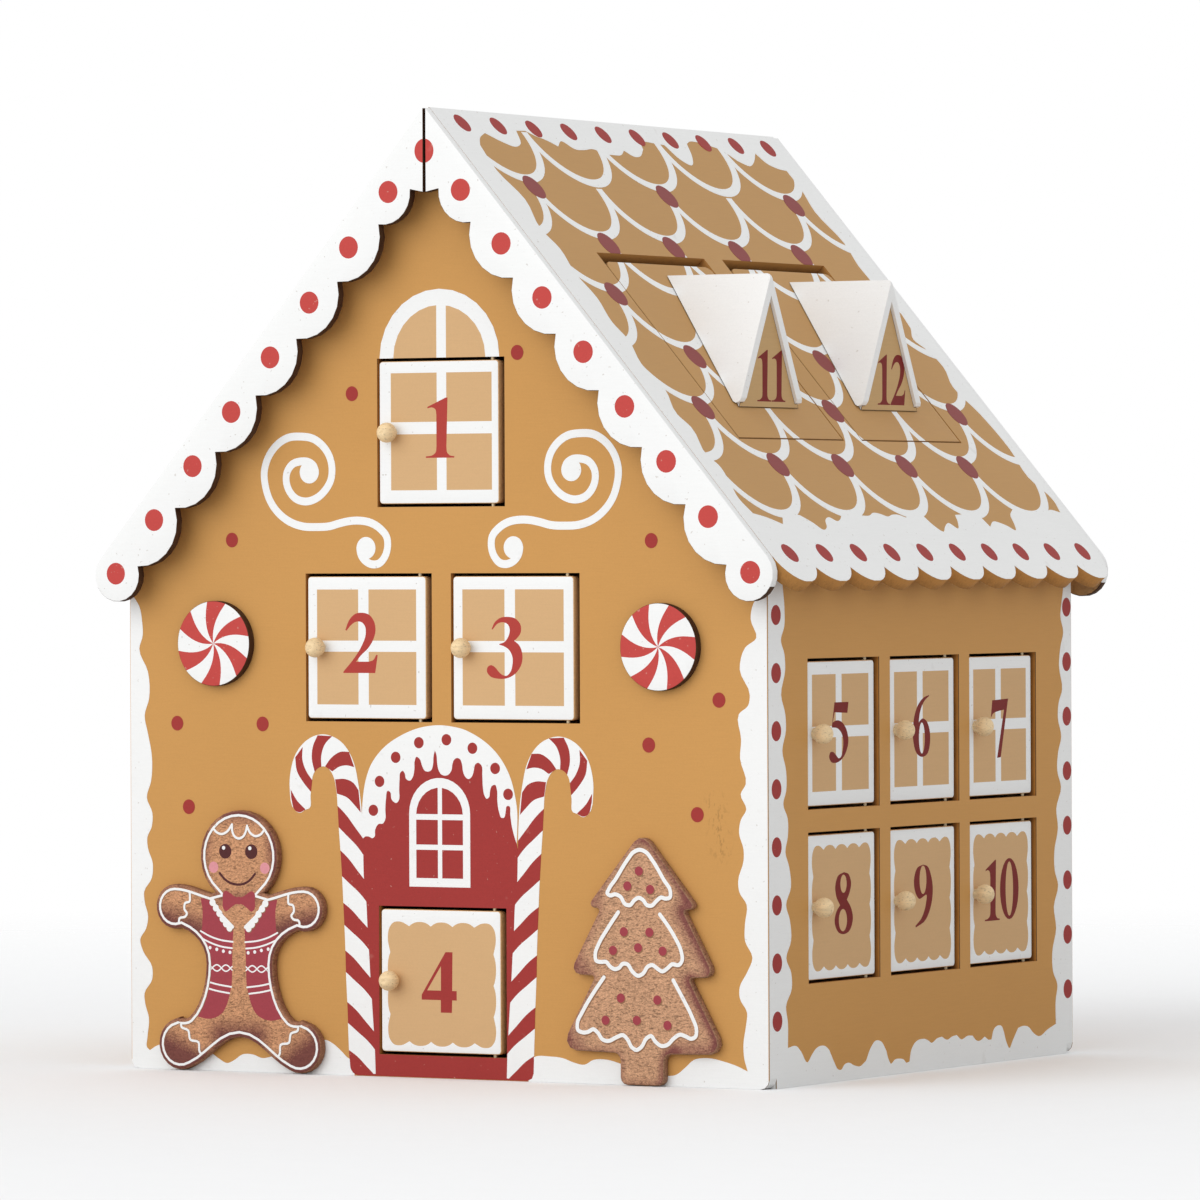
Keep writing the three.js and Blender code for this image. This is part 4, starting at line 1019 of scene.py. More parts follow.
CAP_DRIPS = (
    "~ 34.9,95 33.8,98 32.8,101.5 32,106.5 31.5,110 30.5,110 29.8,107.5 29,105.3 28,105.2 26.8,107.5 26,112 "
    "25.8,116.5 25,118.4 23.5,118 22.6,116 22,113.3 21,112.8 20,114 19.3,117 19,122 18.5,126.3 17,127.2 15.7,126.5 "
    "15,124 14,121.5 12.5,120.6 11,121.5 10,123.5 9.5,126.5 8.5,128.6 7,129 5.8,128.3 5,126.5 4.5,124 3,122.2 1,121.9 "
    "-0.5,122.5 -1.5,124 -2.2,127 -2.6,130.5 -3.2,131.7 -3.8,130 -4.2,126 -5,124 -6.5,123.4 -8,123.7 -9.2,125.5 "
    "-10.5,128.5 -12,129.3 -12.7,128 -13,124 -13.8,121 -15,119.7 -16,119.8 -17,120.5 -17.5,122.5 -18.5,123.6 "
    "-19.5,123 -20,120 -20.2,116 -20.5,111.5 -21.5,110.6 -22.8,111 -23.8,112 -24.5,115 -25.5,115.5 -26.5,112 "
    "-26.8,108 -27,103.5 -28,102.2 -30,102 -31,101 -31.7,99.5 -32,96.8 -33,96.2 -34.5,96.8 -36.5,96.8 -37.5,96"
)
CAP_DOTS = "-32.5,107.5 -29.5,119.2 -21.8,129 -10.8,135 2.2,136.3 14.4,133 25,125 31,114.7"


def wavy_stripe(text):
    """A slanted stripe round a cane, whose long sides bend a little and run out over the cane's edges."""
    top_left, top_right, low_right, low_left = (Vector(spot) for spot in spots_of(text))
    outline = []
    for start, end in ((top_left, top_right), (low_right, low_left)):
        way = end - start
        aside = Vector((-way.y, way.x)).normalized() * (0.9 if start is top_left else -0.9)
        run = [start - way * 0.16 - aside * 0.5, start, start + way * 0.3 + aside * 0.5]
        run += [start + way * 0.7 + aside * 0.2, end, end + way * 0.16 - aside * 0.2]
        outline += rounded([tuple(p) for p in run])
    return outline


def candy_cane(flip):
    """A cane with its stripes, on the left of the entrance or flipped to the right."""
    stripes = [wavy_stripe(text) for text in CANE_STRIPES] + [drawn(text) for text in CANE_BENDS]
    turn = (lambda line: mirrored(line, -1)) if flip else (lambda line: line)
    cane = turn(drawn(CANE_OUTSIDE) + drawn(CANE_INSIDE)[::-1])
    return [mark("icing", cane), *[mark("maroon", turn(stripe), within=cane) for stripe in stripes]]


def scroll(flip):
    """A piped icing scroll with a blob at each end."""
    lines = [line_of(SCROLL, 3.2), oval(60.9, 244.4, 4.6), oval(33.9, 213.5, 4.5)]
    return mark("icing", *[mirrored(line, -0.8) if flip else line for line in lines])


def arched_window():
    """The arch above the attic door, with two light panes."""
    outer, inner = oval(-0.5, 290, 28.2, 27.7), oval(-0.5, 290, 21.7, 21.2)
    return [mark("icing", outer), mark("pane", inner), mark("icing", oblong(-1.8, 2.7, 280, 314))]


def entrance():
    """The red surround of the entrance with its snow cap, small window and sill."""
    cap, drips = drawn(CAP_OUTSIDE), drawn(CAP_DRIPS)
    round_top = [(-12.2, 80.5), (9.8, 80.5), (9.8, 106), *oval(-1.2, 106, 11, 11, 14, 0, 180), (-12.2, 106)]
    frame_top = [(-15.5, 77), (13.2, 77), (13.2, 106.5), *oval(-1.15, 106.5, 14.35, 14.4, 18, 0, 180), (-15.5, 106.5)]
    marks = [mark("maroon", [(-42, 4), (-38.5, 80), *cap, (38, 80), (41, 4)])]
    marks += [mark("icing", cap + drips), mark("plain_maroon", *ovals(CAP_DOTS, 2.3))]
    marks += [mark("icing", frame_top), mark("maroon", round_top), mark("icing", oblong(-2, 0, 80, 118))]
    marks += [mark("icing", oblong(-12.3, 9.9, 91.9, 94)), mark("icing", oblong(-12.3, 9.9, 104, 106.3))]
    return marks


def front_print():
    """Everything that is printed on the front wall."""
    wall_dot = bpy.context.scene.house_sizes.wall_dot / MM
    borders = [
        mark("icing", [(-152, -2), (-152, 196), *drawn(LEFT_BORDER), (-138, -2)]),
        mark("icing", [(140, -2), *drawn(RIGHT_BORDER), (152, 198), (152, -2)]),
        mark("icing", [(-141.1, -2), *drawn(SNOW_LEFT), (-42, -2)]),
        mark("icing", [(40, -2), *drawn(SNOW_RIGHT), (140.4, -2)]),
    ]
    strewn = mark("plain_maroon", *ovals(STREWN_DOTS, wall_dot, wall_dot * 1.04))
    sill = mark("maroon", spots_of("-43.8,9 -43.6,3.2 -42.8,1.2 -40.6,0.2 39.4,0.2 41.6,1.2 42.4,3.2 42.6,9"))
    canes = [*candy_cane(False), *candy_cane(True)]
    return [*borders, strewn, *entrance(), sill, *canes, *arched_window(), scroll(False), scroll(True)]


# Prints of the side walls

SIDE_FRONT_BORDER = (
    "~ 12.5,209 12,200 13.6,189 13.4,182 10.6,176.6 13.4,171 14,165 10.6,155 14,147 14.4,141 11.4,133 14.4,125 "
    "14.4,117 12,112 15.6,106 15.6,99 13.6,93 16.6,87 18,79 14,72 17,66 18,58 14,51 18,45 18.4,39 13.6,32 15,26 "
    "15,15.4"
)
SIDE_SNOW = (
    "~ 15,15.6 22,16 26,13.5; ~ 26,13.5 31,9 35,12 38,14 42,15 46,14.6 49,13; ~ 49,13 53,8 56,5 59,4.5 62,6.5 65,7 "
    "70,5.6 75,5 80,7; ~ 80,7 84,12 88,14.5 93,13.8 97,10; ~ 97,10 98.5,7 101,4.5 104.5,6 108,6.2 112,5.5 114,4.2 "
    "117,4.5; ~ 117,4.5 118.5,9 122,12 126,13 130,13; ~ 130,13 133,12.2 136,11 141,12.6 145,13; ~ 145,13 150,11.5 "
    "154,12.6 158,13; ~ 158,13 162,11 168,12.2 172,12; ~ 172,12 175,10 178,9.5 183,11; ~ 183,11 186,9.6 189,9.5; ~ "
    "189,9.5 191,13.5 195,15 198,14.5 200,12; ~ 200,12 202,8 205,5 208,8 213,13; ~ 213,13 218,13.6 222,13 227,10 "
    "232,8.5 240,11 248,13"
)
SIDE_REAR_BORDER = (
    "~ 247.4,13 247.4,23 249,29 245,35 244.4,43 248,53 246,62 250,71 247,77 246.6,85 250,95 248.6,103 253,112 "
    "249.6,119 250.6,127 253.4,133 250.4,141 251,147 254.4,153 251.6,163 253,171 255.6,177 253,184 254,189 256,197 "
    "255,209"
)


def side_print():
    """Everything that is printed on a side wall, from its front corner."""
    sizes = bpy.context.scene.house_sizes
    edge = [*drawn(SIDE_FRONT_BORDER), *drawn(SIDE_SNOW), *drawn(SIDE_REAR_BORDER)]
    icing = mark("icing", [(-1, -1), (-1, 209), *edge, (264, 209), (264, -1)][::-1])
    front = dots_along("maroon", [(6.6, 186.5), (6.6, 26.5)], sizes.side_dots, sizes.side_dot)
    rear = dots_along("maroon", [(258.5, 187.5), (258.5, 27)], sizes.side_dots, sizes.side_dot)
    return [icing, front, rear]


# Prints of the roof: across is down the slope from the ridge, up is along the ridge from the front wall

SCALE_RADIUS = 27
SCALE_MARKS = (
    "42,28 42,136 42,245 72,54 72,107 72,162 72,216 100,28 100,136 100,245 133,54 133,107 133,162 133,216 161,28 "
    "161,136 161,245 191,54 191,108 191,163 191,217"
)
RIDGE_BAND = (
    "20,9.8; ~ 20,9.8 16,14 12.7,21.5; ~ 12.7,21.5 17.1,30.4 19.3,38.2 17.1,44.9 9.8,49.3; 9.5,57; ~ 12,62 14.2,69.3 "
    "17.1,74.9; ~ 17.1,74.9 13.8,81.5 17.8,87.1 18,95 17.1,103.8 19.3,110.4 19.6,117 19.3,123.8 16.4,129.3; ~ "
    "16.4,129.3 19.5,134 19.3,139.3 14.9,147; ~ 14.9,147 10.5,150 10,154 10.4,159.3 10.8,164 11.1,169.3; ~ 11.1,169.3 "
    "19.3,173.8 22.2,179.3 17.1,186 9.3,190.4; ~ 9.3,190.4 7.6,195 7.6,200.4 9.8,212.7 11,218; ~ 17.1,224.9 "
    "19.8,232.7 17.1,239.3 11.6,247; ~ 11.6,247 17.1,250.4 20,257 20.9,263.8"
)
ROOF_FRONT_BORDER = (
    "~ 222.7,20.4 219,11 217,2.7; ~ 217,2.7 209.3,0.4 200.4,3.3 191.6,4.9 187.1,1.6 171.6,6 164.9,2.7 151.6,8.2 "
    "138.2,4.9 124.9,9.3 116,7.1 102.7,10 89.3,7.6 76,10.4 66,7.1 49.3,12.7 33.8,7.6 20,9.8"
)
ROOF_REAR_BORDER = (
    "~ 20.9,263.8 31.6,263.8 44.9,260.4 62.7,264.9 76,261.6 111.6,264.9 118.2,259.3 124.9,264.9 133.8,267.1 "
    "144.9,261.6 160.4,267.1 180.4,269.3 196,266 209.3,272.7 216,270.4"
)
EAVE_BAND = (
    "~ 216,270.4 214.5,262 217,256; ~ 217,256 217.5,240 214.5,228; ~ 214.5,228 218,222 222,220 226,216.5 223.5,212 "
    "222,208 221,203 224,196; 218,194; ~ 217,190 217.2,180 217.5,173; ~ 217.5,173 222,170 225,166 222,162 224,156 "
    "226.7,151 222,146 217.5,144; ~ 217.5,144 217,138 217.5,133 219,128; ~ 219,128 217.5,123 217.5,118 218.5,113 "
    "217,108 216.5,103 218,98 218,91; ~ 218,91 217.3,82 217.5,75; ~ 217.5,75 220,71 221,67 219,63 220.5,58 224,55 "
    "225.6,50 222,46 218,40; ~ 218,40 217,34 217.5,27 222.7,20.4"
)


def one_scale(u, y):
    """The lower half of the icing line round one roof scale."""
    half = bpy.context.scene.house_sizes.scale_line / MM / 2
    outer = oval(u, y, SCALE_RADIUS + half, corners=29, start=-90, end=90)
    return outer + oval(u, y, SCALE_RADIUS - half, corners=29, start=-90, end=90)[::-1]


def roof_print():
    """Everything that is printed on a roof slope and its lids."""
    sizes = bpy.context.scene.house_sizes
    tree = bpy.data.node_groups.get("scale_rows") or scale_rows()
    counts = {"Rows": 7, "Scales": 6, "Pitch": 54.2, "Row step": 30.0, "Stagger": 26.6}
    counts["Paint"] = bpy.data.materials["icing"]
    scales = laid_out(tree, one_scale(10.3, -26.2), "patch", counts)
    dot, line_dot = sizes.scale_dot / MM, sizes.roof_dot
    marks = [mark("icing", *scales), mark("roof_dot", *ovals(SCALE_MARKS, dot))]
    front, rear = drawn(ROOF_FRONT_BORDER), drawn(ROOF_REAR_BORDER)
    marks += [
        mark("icing", [(-2, -10), (-2, 280), (20.9, 280), *drawn(RIDGE_BAND)[::-1], (20, -10)]),
        mark("icing", [(-2, -10), *front[::-1], (240, 20), (240, -10)]),
        mark("icing", [(-2, 280), (-2, 263.8), *rear, (240, 270), (240, 280)]),
        mark("icing", [(262, 290), (222, 290), (214, 272), *drawn(EAVE_BAND), (222.7, 18), (216, -10), (262, -10)]),
        dots_along("plain_maroon", [(8, 9), (8, 262.5)], sizes.roof_dots, line_dot),
        dots_along("plain_maroon", [(237.8, 8), (237.8, 262.5)], sizes.roof_dots, line_dot),
    ]
    return marks


# Numerals and the prints of the doors: across from the middle of the opening, up from its sill

# Each digit's width, outline and holes
DIGITS = {
    "0": (17.0, oval(8.5, 12.3, 8.5, 12.3), oval(8.5, 12.3, 3.4, 10.9)),
    "1": (
        13.4,
        drawn(
            "13.4,0; ~ 13.4,0.6 11.2,1 10,2.2 9.7,4.4; 10.3,24.3 9.4,24.3 0.8,20.6; ~ 0.7,20 3.2,20.3 4.5,19.6 "
            "5,17.5; ~ 5,4.5 4.6,2.2 3.2,1.1 0,0.6; 0,0"
        ),
    ),
    "2": (
        16.7,
        drawn(
            "~ 1.1,17.4 3.1,21.6 5.8,23.9 9,24.4 12.6,23.5 14.9,20.7 15.5,17.1 14.4,13.5 12.2,10.3 8.5,7.1 6.2,4.6; ~ "
            "12.2,4.6 14.4,5.3 15.8,7.4; 16.5,7.3 15.3,0 0.1,0 0.1,0.4; ~ 0.2,0.6 5.8,6.6 9,11.2 10.8,15.7 10.5,18.9 "
            "9,20.5 6.2,20.7 4,19.5 1.7,17.1"
        ),
    ),
    "3": (
        16.5,
        drawn(
            "~ 2.2,19.6 3.7,22.4 6.4,24.2 9.6,24.6 13.7,23.7 15.8,21.3 15.8,18.3 14.2,16.2 12.8,15.1; ~ 12.8,15.1 "
            "15.1,13.3 16.5,10.1 16.2,6 13.7,2.4 10.1,0.4 5.1,0 1.4,1 0,2.8 0.3,4.6 1.9,5.4 3.7,4.6 5.5,2.8 7.3,1.5 "
            "9.2,1.2 11,2.8 11.9,5.6 11.9,8.7 10.3,11.5 8.2,12.8 5.8,13.5; ~ 5.8,13.8 8.2,14.6 10.1,16.9 10.7,19.6 "
            "9.8,21.6 7.8,22.4 5.1,21.9 2.8,19.6"
        ),
    ),
    "4": (
        16.5,
        drawn("0,5 0,7 11.3,24.3 14.6,24.3 14.4,8.8 16.5,8.8 16.5,5 14.4,5 14.2,0 9,0 9,5"),
        drawn("2.6,8.8 9.1,8.8 9.1,18.6"),
    ),
    "5": (
        16.4,
        drawn(
            "4.6,24.2 16.4,24.2 15.4,19.8 4.8,20.2 3.1,16.2; ~ 3.1,16.2 6.6,17 11.8,15.7 14.9,12.7 16.2,8.8 14.3,4.3 "
            "9.8,1 5.2,0 1.5,0.6 0,2.5 1,4.3 3.1,4.5 5.6,3.3 8.1,1.8 9.8,2.3 11.4,5.3 11.8,8.8 10.4,11.8 7.3,13.7 "
            "2.3,14.2"
        ),
    ),
    "6": (
        15.0,
        drawn(
            "~ 14.4,24.7 10.4,24 6.6,22.4 2.3,18.2 0.2,12.6 0.2,7.1 2.7,2 7.8,0 12.9,1.5 15,6.1 14.4,11.1 11.5,14.6 "
            "8.4,15.4 5.1,13.9; ~ 5.1,13.9 6.4,18.2 9.9,22.2 14.2,24.3"
        ),
        oval(7.8, 7.6, 2.5, 6.2),
    ),
    "7": (
        16.4,
        drawn(
            "1.9,23.9 16.4,24.4 15.9,23.4 9.4,0.2 6.1,0 12.4,19.8; ~ 12.4,19.8 7,19.3 2.3,18.2 0.7,16.9 0,16.9; "
            "0,16.9 0.6,16.9"
        ),
    ),
    "8": (
        15.4,
        drawn(
            "~ 8,24.6 12,23.6 14,20.2 12.4,16 10.4,13.6; ~ 10.4,13.6 13.6,10.6 15.4,6.2 13,1.6 7.6,0 2.4,1.4 0,5.2 "
            "1.4,9 4.6,11.6; ~ 4.6,11.6 1.6,15 0.6,18.6 2.6,23 8,24.6"
        ),
        oval(7.6, 20, 2.6, 3.6), oval(7, 5.6, 3.4, 4.4),
    ),
    "9": (
        16.8,
        drawn(
            "~ 8.2,24.6 12.4,23.6 15.2,20 16.6,15.2 15.2,8.6 10.6,3 1.6,0; 1.2,0.6; ~ 1.4,0.8 6.6,3.6 10.4,9 11,12.6 "
            "9,12.2 4.6,11.2 1,14.2 0,18.6 2.6,23.2 8.2,24.6"
        ),
        oval(8, 18.6, 3, 5.6),
    ),
}
DIGIT_HEIGHT = 24.4


def widths_of(text):
    """The widths of a number's digits, the gap between them and the width of the whole."""
    widths, gap = [DIGITS[digit][0] for digit in text], 0.4 if "1" in text else 1.0
    return widths, gap, sum(widths) + gap * (len(text) - 1)


def numeral(text, a0, a1, b0, b1, paint):
    """A printed number that fills a box."""
    widths, gap, whole = widths_of(text)
    wide = (a1 - a0) / whole
    high = (b1 - b0) / DIGIT_HEIGHT
    marks, start = [], a0
    for digit, width in zip(text, widths):
        outline, *holes = [moved(line, start, b0, wide, high) for line in DIGITS[digit][1:]]
        marks.append(mark(paint, outline, holes=holes))
        start += (width + gap) * wide
    return marks


def middle_numeral(text, middle, b0, b1, most, paint):
    """A printed number of even proportions about a middle line, no wider than the most."""
    half = min(widths_of(text)[2] * (b1 - b0) / DIGIT_HEIGHT, most) / 2
    return numeral(text, middle - half, middle + half, b0, b1, paint)


NUMERAL_BOXES = {
    1: (-7, 6.4, 19.7, 44),
    2: (-12.2, 4.5, 19.7, 44.1),
    3: (-13.2, 3.3, 17.7, 42.3),
    4: (-10, 6.5, 17.5, 42),
    5: (-10.6, 5.8, 18, 42.4),
    6: (-8.6, 6.4, 18.6, 43.4),
    7: (-9.6, 6.8, 16.6, 41),
    8: (-6.6, 8.8, 18.4, 43),
    9: (-8.2, 8.4, 18.4, 43.6),
    10: (-15, 15.4, 18.4, 43.6),
}


def window_print(columns, rows):
    """Four panes between white bars."""
    return [mark("pane", oblong(*column, *row)) for column in columns for row in rows]


def scalloped_panel(a0, a1, b0, b1, across=5, up=4):
    """A light panel with scalloped edges, drawn anticlockwise from scallop to scallop."""
    dip, side_dip = 1.8, 1.2
    step, rise = (a1 - a0) / across, (b1 - b0) / up

    def bulge(start, end, depth):
        """A scallop between two points of a straight side, to its right, without its end."""
        way = Vector(end) - Vector(start)
        out = Vector((way.y, -way.x)).normalized() * depth
        spots = [Vector(start) + way * t + out * (1 - abs(2 * t - 1) ** 2.4) for t in (k / 8 for k in range(8))]
        return [tuple(spot) for spot in spots]

    outline = []
    for k in range(1, across - 1):
        outline += bulge((a0 + step * k, b0 + dip), (a0 + step * (k + 1), b0 + dip), dip)
    corner = [(a1 - step, b0 + dip), (a1 - step * 0.62, b0 + 0.1), (a1 - 2.6, b0 + 0.5), (a1 - 0.9, b0 + 2.4)]
    outline += rounded([*corner, (a1 - 0.05, b0 + rise * 0.55), (a1 - side_dip, b0 + rise)])[:-1]
    for k in range(1, up - 1):
        outline += bulge((a1 - side_dip, b0 + rise * k), (a1 - side_dip, b0 + rise * (k + 1)), side_dip)
    corner = [(a1 - side_dip, b1 - rise), (a1 - 0.05, b1 - rise * 0.55), (a1 - 0.9, b1 - 2.4), (a1 - 2.6, b1 - 0.5)]
    outline += rounded([*corner, (a1 - step * 0.62, b1 - 0.1), (a1 - step, b1 - dip)])[:-1]
    turned = [(a0 + a1 - a, b0 + b1 - b) for a, b in outline]
    return mark("pane", outline + turned)


def door_print(number, place):
    """The print on one door. The place is its row: attic, middle, entrance, upper or lower."""
    if place in ("entrance", "lower"):
        box = (-26, 25, 3.8, 53.8) if place == "entrance" else (-25.3, 24, 4.5, 54.5)
        marks = [scalloped_panel(*box)]
    elif place == "attic":
        marks = window_print([(-23.5, -1.8), (2.7, 24)], [(6.7, 29.3), (34.2, 54)])
    else:
        marks = window_print([(-24.6, -4.9), (0, 22.6)], [(6.9, 28.3), (32.8, 53.5)])
    paint = {"attic": "numeral_red", "middle": "numeral_red", "entrance": "plain_maroon"}.get(place, "numeral_maroon")
    if number in NUMERAL_BOXES:
        return marks + numeral(str(number), *NUMERAL_BOXES[number], paint)
    return marks + middle_numeral(str(number), 0.2, 18.4, 43, 31, paint)


# Prints of the cut-outs

MAN_MIDDLE = -94.8
VEST = (
    "-113.4,70.6 -108,70.6; -97.4,58.6; ~ -97.5,58 -98,50 -98.2,40 -98.4,36 -99.6,31 -101,27 -103,24 -106.5,22 "
    "-110,21.4 -114,22 -119,23.4; -117.5,26 -113.4,34 -111.4,40 -111.4,46 -115.4,54.6; ~ -114.4,55 -113,57.4 "
    "-112.6,61 -112.5,66 -113.4,70.6"
)
CUFF = "-118.8,73.6 -118.6,71 -118.8,69.2 -120.9,68.5 -121.3,66 -120.1,64.2 -120.9,63 -123.7,62.2 -124,60 -123.2,57.9"
SOCK = "-123,20.6 -123,17.8 -119.7,16.4 -118.7,12.7 -114.7,11.7 -114.1,7.7 -112.2,6.3 -109.6,6"
VEST_LINES = [
    "-113.4,57.2 -109,55.2 -103.5,53.7 -97.8,53.1",
    "-114.2,54.8 -108,52.3 -103,51 -98.2,50.5",
    "-112.4,37.2 -106,35.7 -98.6,34.7",
    "-113.4,34.7 -106,33 -99.6,32.1",
]
BEADS = "-112.2,51.3 -108.9,50.5 -105.6,49.9 -102.4,49.2 -99.2,48.8"
COLLAR_BEADS = "-107.6,69 -106,66.8 -104.3,64.6 -102.7,62.4 -101.1,60.4 -99.4,58.7"
BOW = (
    "~ -94.8,71.2 -96.7,71.6 -99,73 -101.2,73.9 -102.3,73.2 -102.6,70 -102.2,66.4 -101,65.6 -99,66.8 -96.7,68.3 "
    "-94.8,68.8"
)
SMILE = "-104,81 -101.6,78.6 -98.5,77 -95.2,76.5 -92,77 -89.2,78.6 -86.9,81"
FRINGE = [
    "-107.6,100 -105.6,97.8 -103,97 -100.2,98.2 -98,101",
    "-98,101 -97.8,98 -96.6,96 -94.6,95.3 -92.6,96.2 -91.3,98.2 -90.7,100.6",
    "-90.7,100.4 -89.2,97.7 -86.8,96.4 -84.3,97 -82,99.6",
]


def man_print(outline):
    """Icing, vest, bow tie and a plain smiling face."""

    def both(line):
        return [line, mirrored(line, MAN_MIDDLE)]

    within = inset(outline, 1.7)
    wave = [(-111.2 + 0.5 * k, 1.3 * math.cos(2 * math.pi * (0.5 * k - 1.2) / 8.8)) for k in range(27)]
    lines = [s for text in VEST_LINES for s in both(line_of(text, 0.7))]
    lines += [s for bead in ovals(BEADS, 0.72, corners=14) for s in both(bead)]
    collar = [s for bead in ovals(COLLAR_BEADS, 1.45, corners=18) for s in both(bead)]
    collar += both(stroke(spots_of("-108.4,70.6 -103,63.6 -97.9,59.2"), 1.4))
    piped = [s for text in (CUFF, SOCK) for s in both(line_of(text, 0.95))]
    piped += [line_of(text, 0.95) for text in FRINGE]
    marks = [mark("vest", *both(drawn(VEST)), within=within), mark("icing", *lines, within=within)]
    for side in (1, -1):
        braid = stroke([(a, 42.3 + side * b) for a, b in wave], 0.55)
        marks.append(mark("icing", *both(braid), within=within))
    marks += [mark("icing_shade", *[moved(s, 0.3, -0.35) for s in collar + piped], within=within)]
    marks += [mark("icing_shade", inset(outline, 1.5), holes=[moved(inset(outline, 2.45), 0.3, -0.35)])]
    marks += [mark("icing", *collar, *piped, within=within)]
    marks += [mark("icing", inset(outline, 1.5), holes=[inset(outline, 2.5)])]
    marks.append(mark("vest", *both(drawn(BOW)), oval(MAN_MIDDLE, 70, 1.5, 1.6, corners=16)))
    marks.append(mark("eye", oval(-101.3, 90, 3.0), oval(-88.7, 90, 3.0)))
    marks.append(mark("icing", oval(-102.1, 91.4, 0.8, corners=14), oval(-89.4, 91.4, 0.8, corners=14)))
    marks.append(mark("cheek", oval(-107, 83.4, 2.3), oval(-82.2, 83.4, 2.3)))
    marks.append(mark("eye", line_of(SMILE, 1.0)))
    return marks


TREE_ICING = [
    "o 79.5,77.4 83,82 88.5,89.8 91.2,92.7 94,93.6 96.8,92.7 99.5,89.8 104.8,82 107.9,77.2 107.6,75 105.6,74.5 "
    "103.6,74.9 101.4,73.4 99.3,71.6 97.3,71.7 95.2,73.9 93.4,74.6 91.4,73.6 89.4,71.6 87.3,71.9 85,74.9 82.6,75.8 "
    "80.2,75.3 79,76.2",
    "~ 84,68.7 79,62 75,56 73.4,52 73.8,49.3 76,48.8 78.3,48.9 80.3,47 82.3,46.1 84.2,46.6 86,48.3 88,48.2 90.5,45.2 "
    "92.9,43.7 95.2,44.6 97.5,47.5 99.5,48.1 101.7,46.8 104,45.7 106.3,46.9 108.5,48.6 111.6,48.4 113,50 112.6,54 "
    "110,59 106.5,64 103,68.2",
    "~ 77.3,42.7 72.5,36.5 67.5,29 65,24 65.3,21.5 67.5,20.6 70,20.9 72.3,22 74.5,20.6 76.5,18.1 79,17.5 83,19.1 "
    "86,20 88,18.4 90.1,15.2 92,14.3 94.2,15.4 96.9,19.2 98.8,20 100.7,17.9 103.5,16.2 106.2,16.7 109,19.2 112,20.9 "
    "114.5,20.3 117,19.4 119,20.3 119.5,22.6 117.5,28 113.5,35 109,42.3",
]
TREE_DOTS = (
    "93.5,85.2 88.2,79.2 98.6,78 86.5,61 98.2,61 93,54.8 81.5,53.5 104.2,53.7 85,34.7 101.7,34.3 78,25.7 92.3,26 "
    "106.3,24.4"
)


def tree_print():
    """Three tiers of piped icing with dots."""
    piped, dots = [], ovals(TREE_DOTS, 1.85, corners=22)
    for text in TREE_ICING:
        line = drawn(text)
        piped.append(stroke([*line, line[0]] if text[0] == "o" else line, 1.6))
    shades = [moved(line, 0.4, -0.5) for line in piped + dots]
    return [mark("icing_shade", *shades), mark("icing", *piped), mark("vest", *dots)]


def swirl(a, b, radius, first, twist):
    """Six curved red sectors from the middle to the rim of a peppermint."""

    def spot(turn, share):
        t = math.radians(turn)
        return a + radius * share * math.cos(t), b + radius * share * math.sin(t)

    sectors = []
    shares = [step / 10 for step in range(1, 11)]
    for turn in range(0, 360, 60):
        near, far = (
            [spot(first + turn + edge + twist * (1 - share) ** 1.15, share) for share in shares] for edge in (-15, 15)
        )
        rim = [spot(first + turn + t, 1.1) for t in (-15, 0, 15)]
        sectors.append([(a, b), *near, *rim, *far[::-1]])
    return mark("red", *sectors)


# Operators


class HOUSE_OT_paint_walls(Operator):
    """Paints the four walls and lays their prints on them."""

    bl_idname = "house.paint_walls"
    bl_label = "Paint walls"

    def execute(self, context):
        for side, board in WALLS.items():
            dress_node(f"{side}_wall", f"{side}_wall_board")
            outline, openings = face_of(f"{side}_wall", board)
            if side in END_WALLS:
                window = oblong(0.25 - SIDE_FACE, SIDE_FACE - 0.25, -1, RIDGE)
                pattern = arrange(front_print(), outline, openings, window)
            else:
                deep, top, foot, edge = BACK_FACE - FRONT_FACE, max(b for _, b in outline), FOOT_ROUNDING, PRINT_MARGIN
                sheet = [(edge, foot), (WALL, foot), (WALL, 0), (deep - WALL, 0), (deep - WALL, foot)]
                sheet += [(deep - edge, foot), (deep - edge, top), (edge, top)]
                pattern = arrange(side_print(), sheet, openings)
            lay_film(f"{side}_wall_print", board, pattern)
        return {"FINISHED"}


def dress_node(node, finish):
    """Gives a CAD node its finish."""
    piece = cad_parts[node]
    for number in range(len(piece.material_slots)):
        piece.material_slots[number].link = "OBJECT"
        piece.material_slots[number].material = bpy.data.materials[finish]
    if not piece.material_slots:
        piece.data.materials.append(bpy.data.materials[finish])


def fit_rod(name, middle, axis, reach, body):
    """A steel pivot rod with slightly broken ends."""
    radius = bpy.context.scene.house_sizes.rod_radius / MM
    profile = [(0, -reach), (radius - 0.2, -reach), (radius, -reach + 0.2), (radius, reach - 0.2)]
    profile += [(radius - 0.2, reach), (0, reach)]
    return turn_piece(name, middle, axis, profile, "steel", body, sides=16)


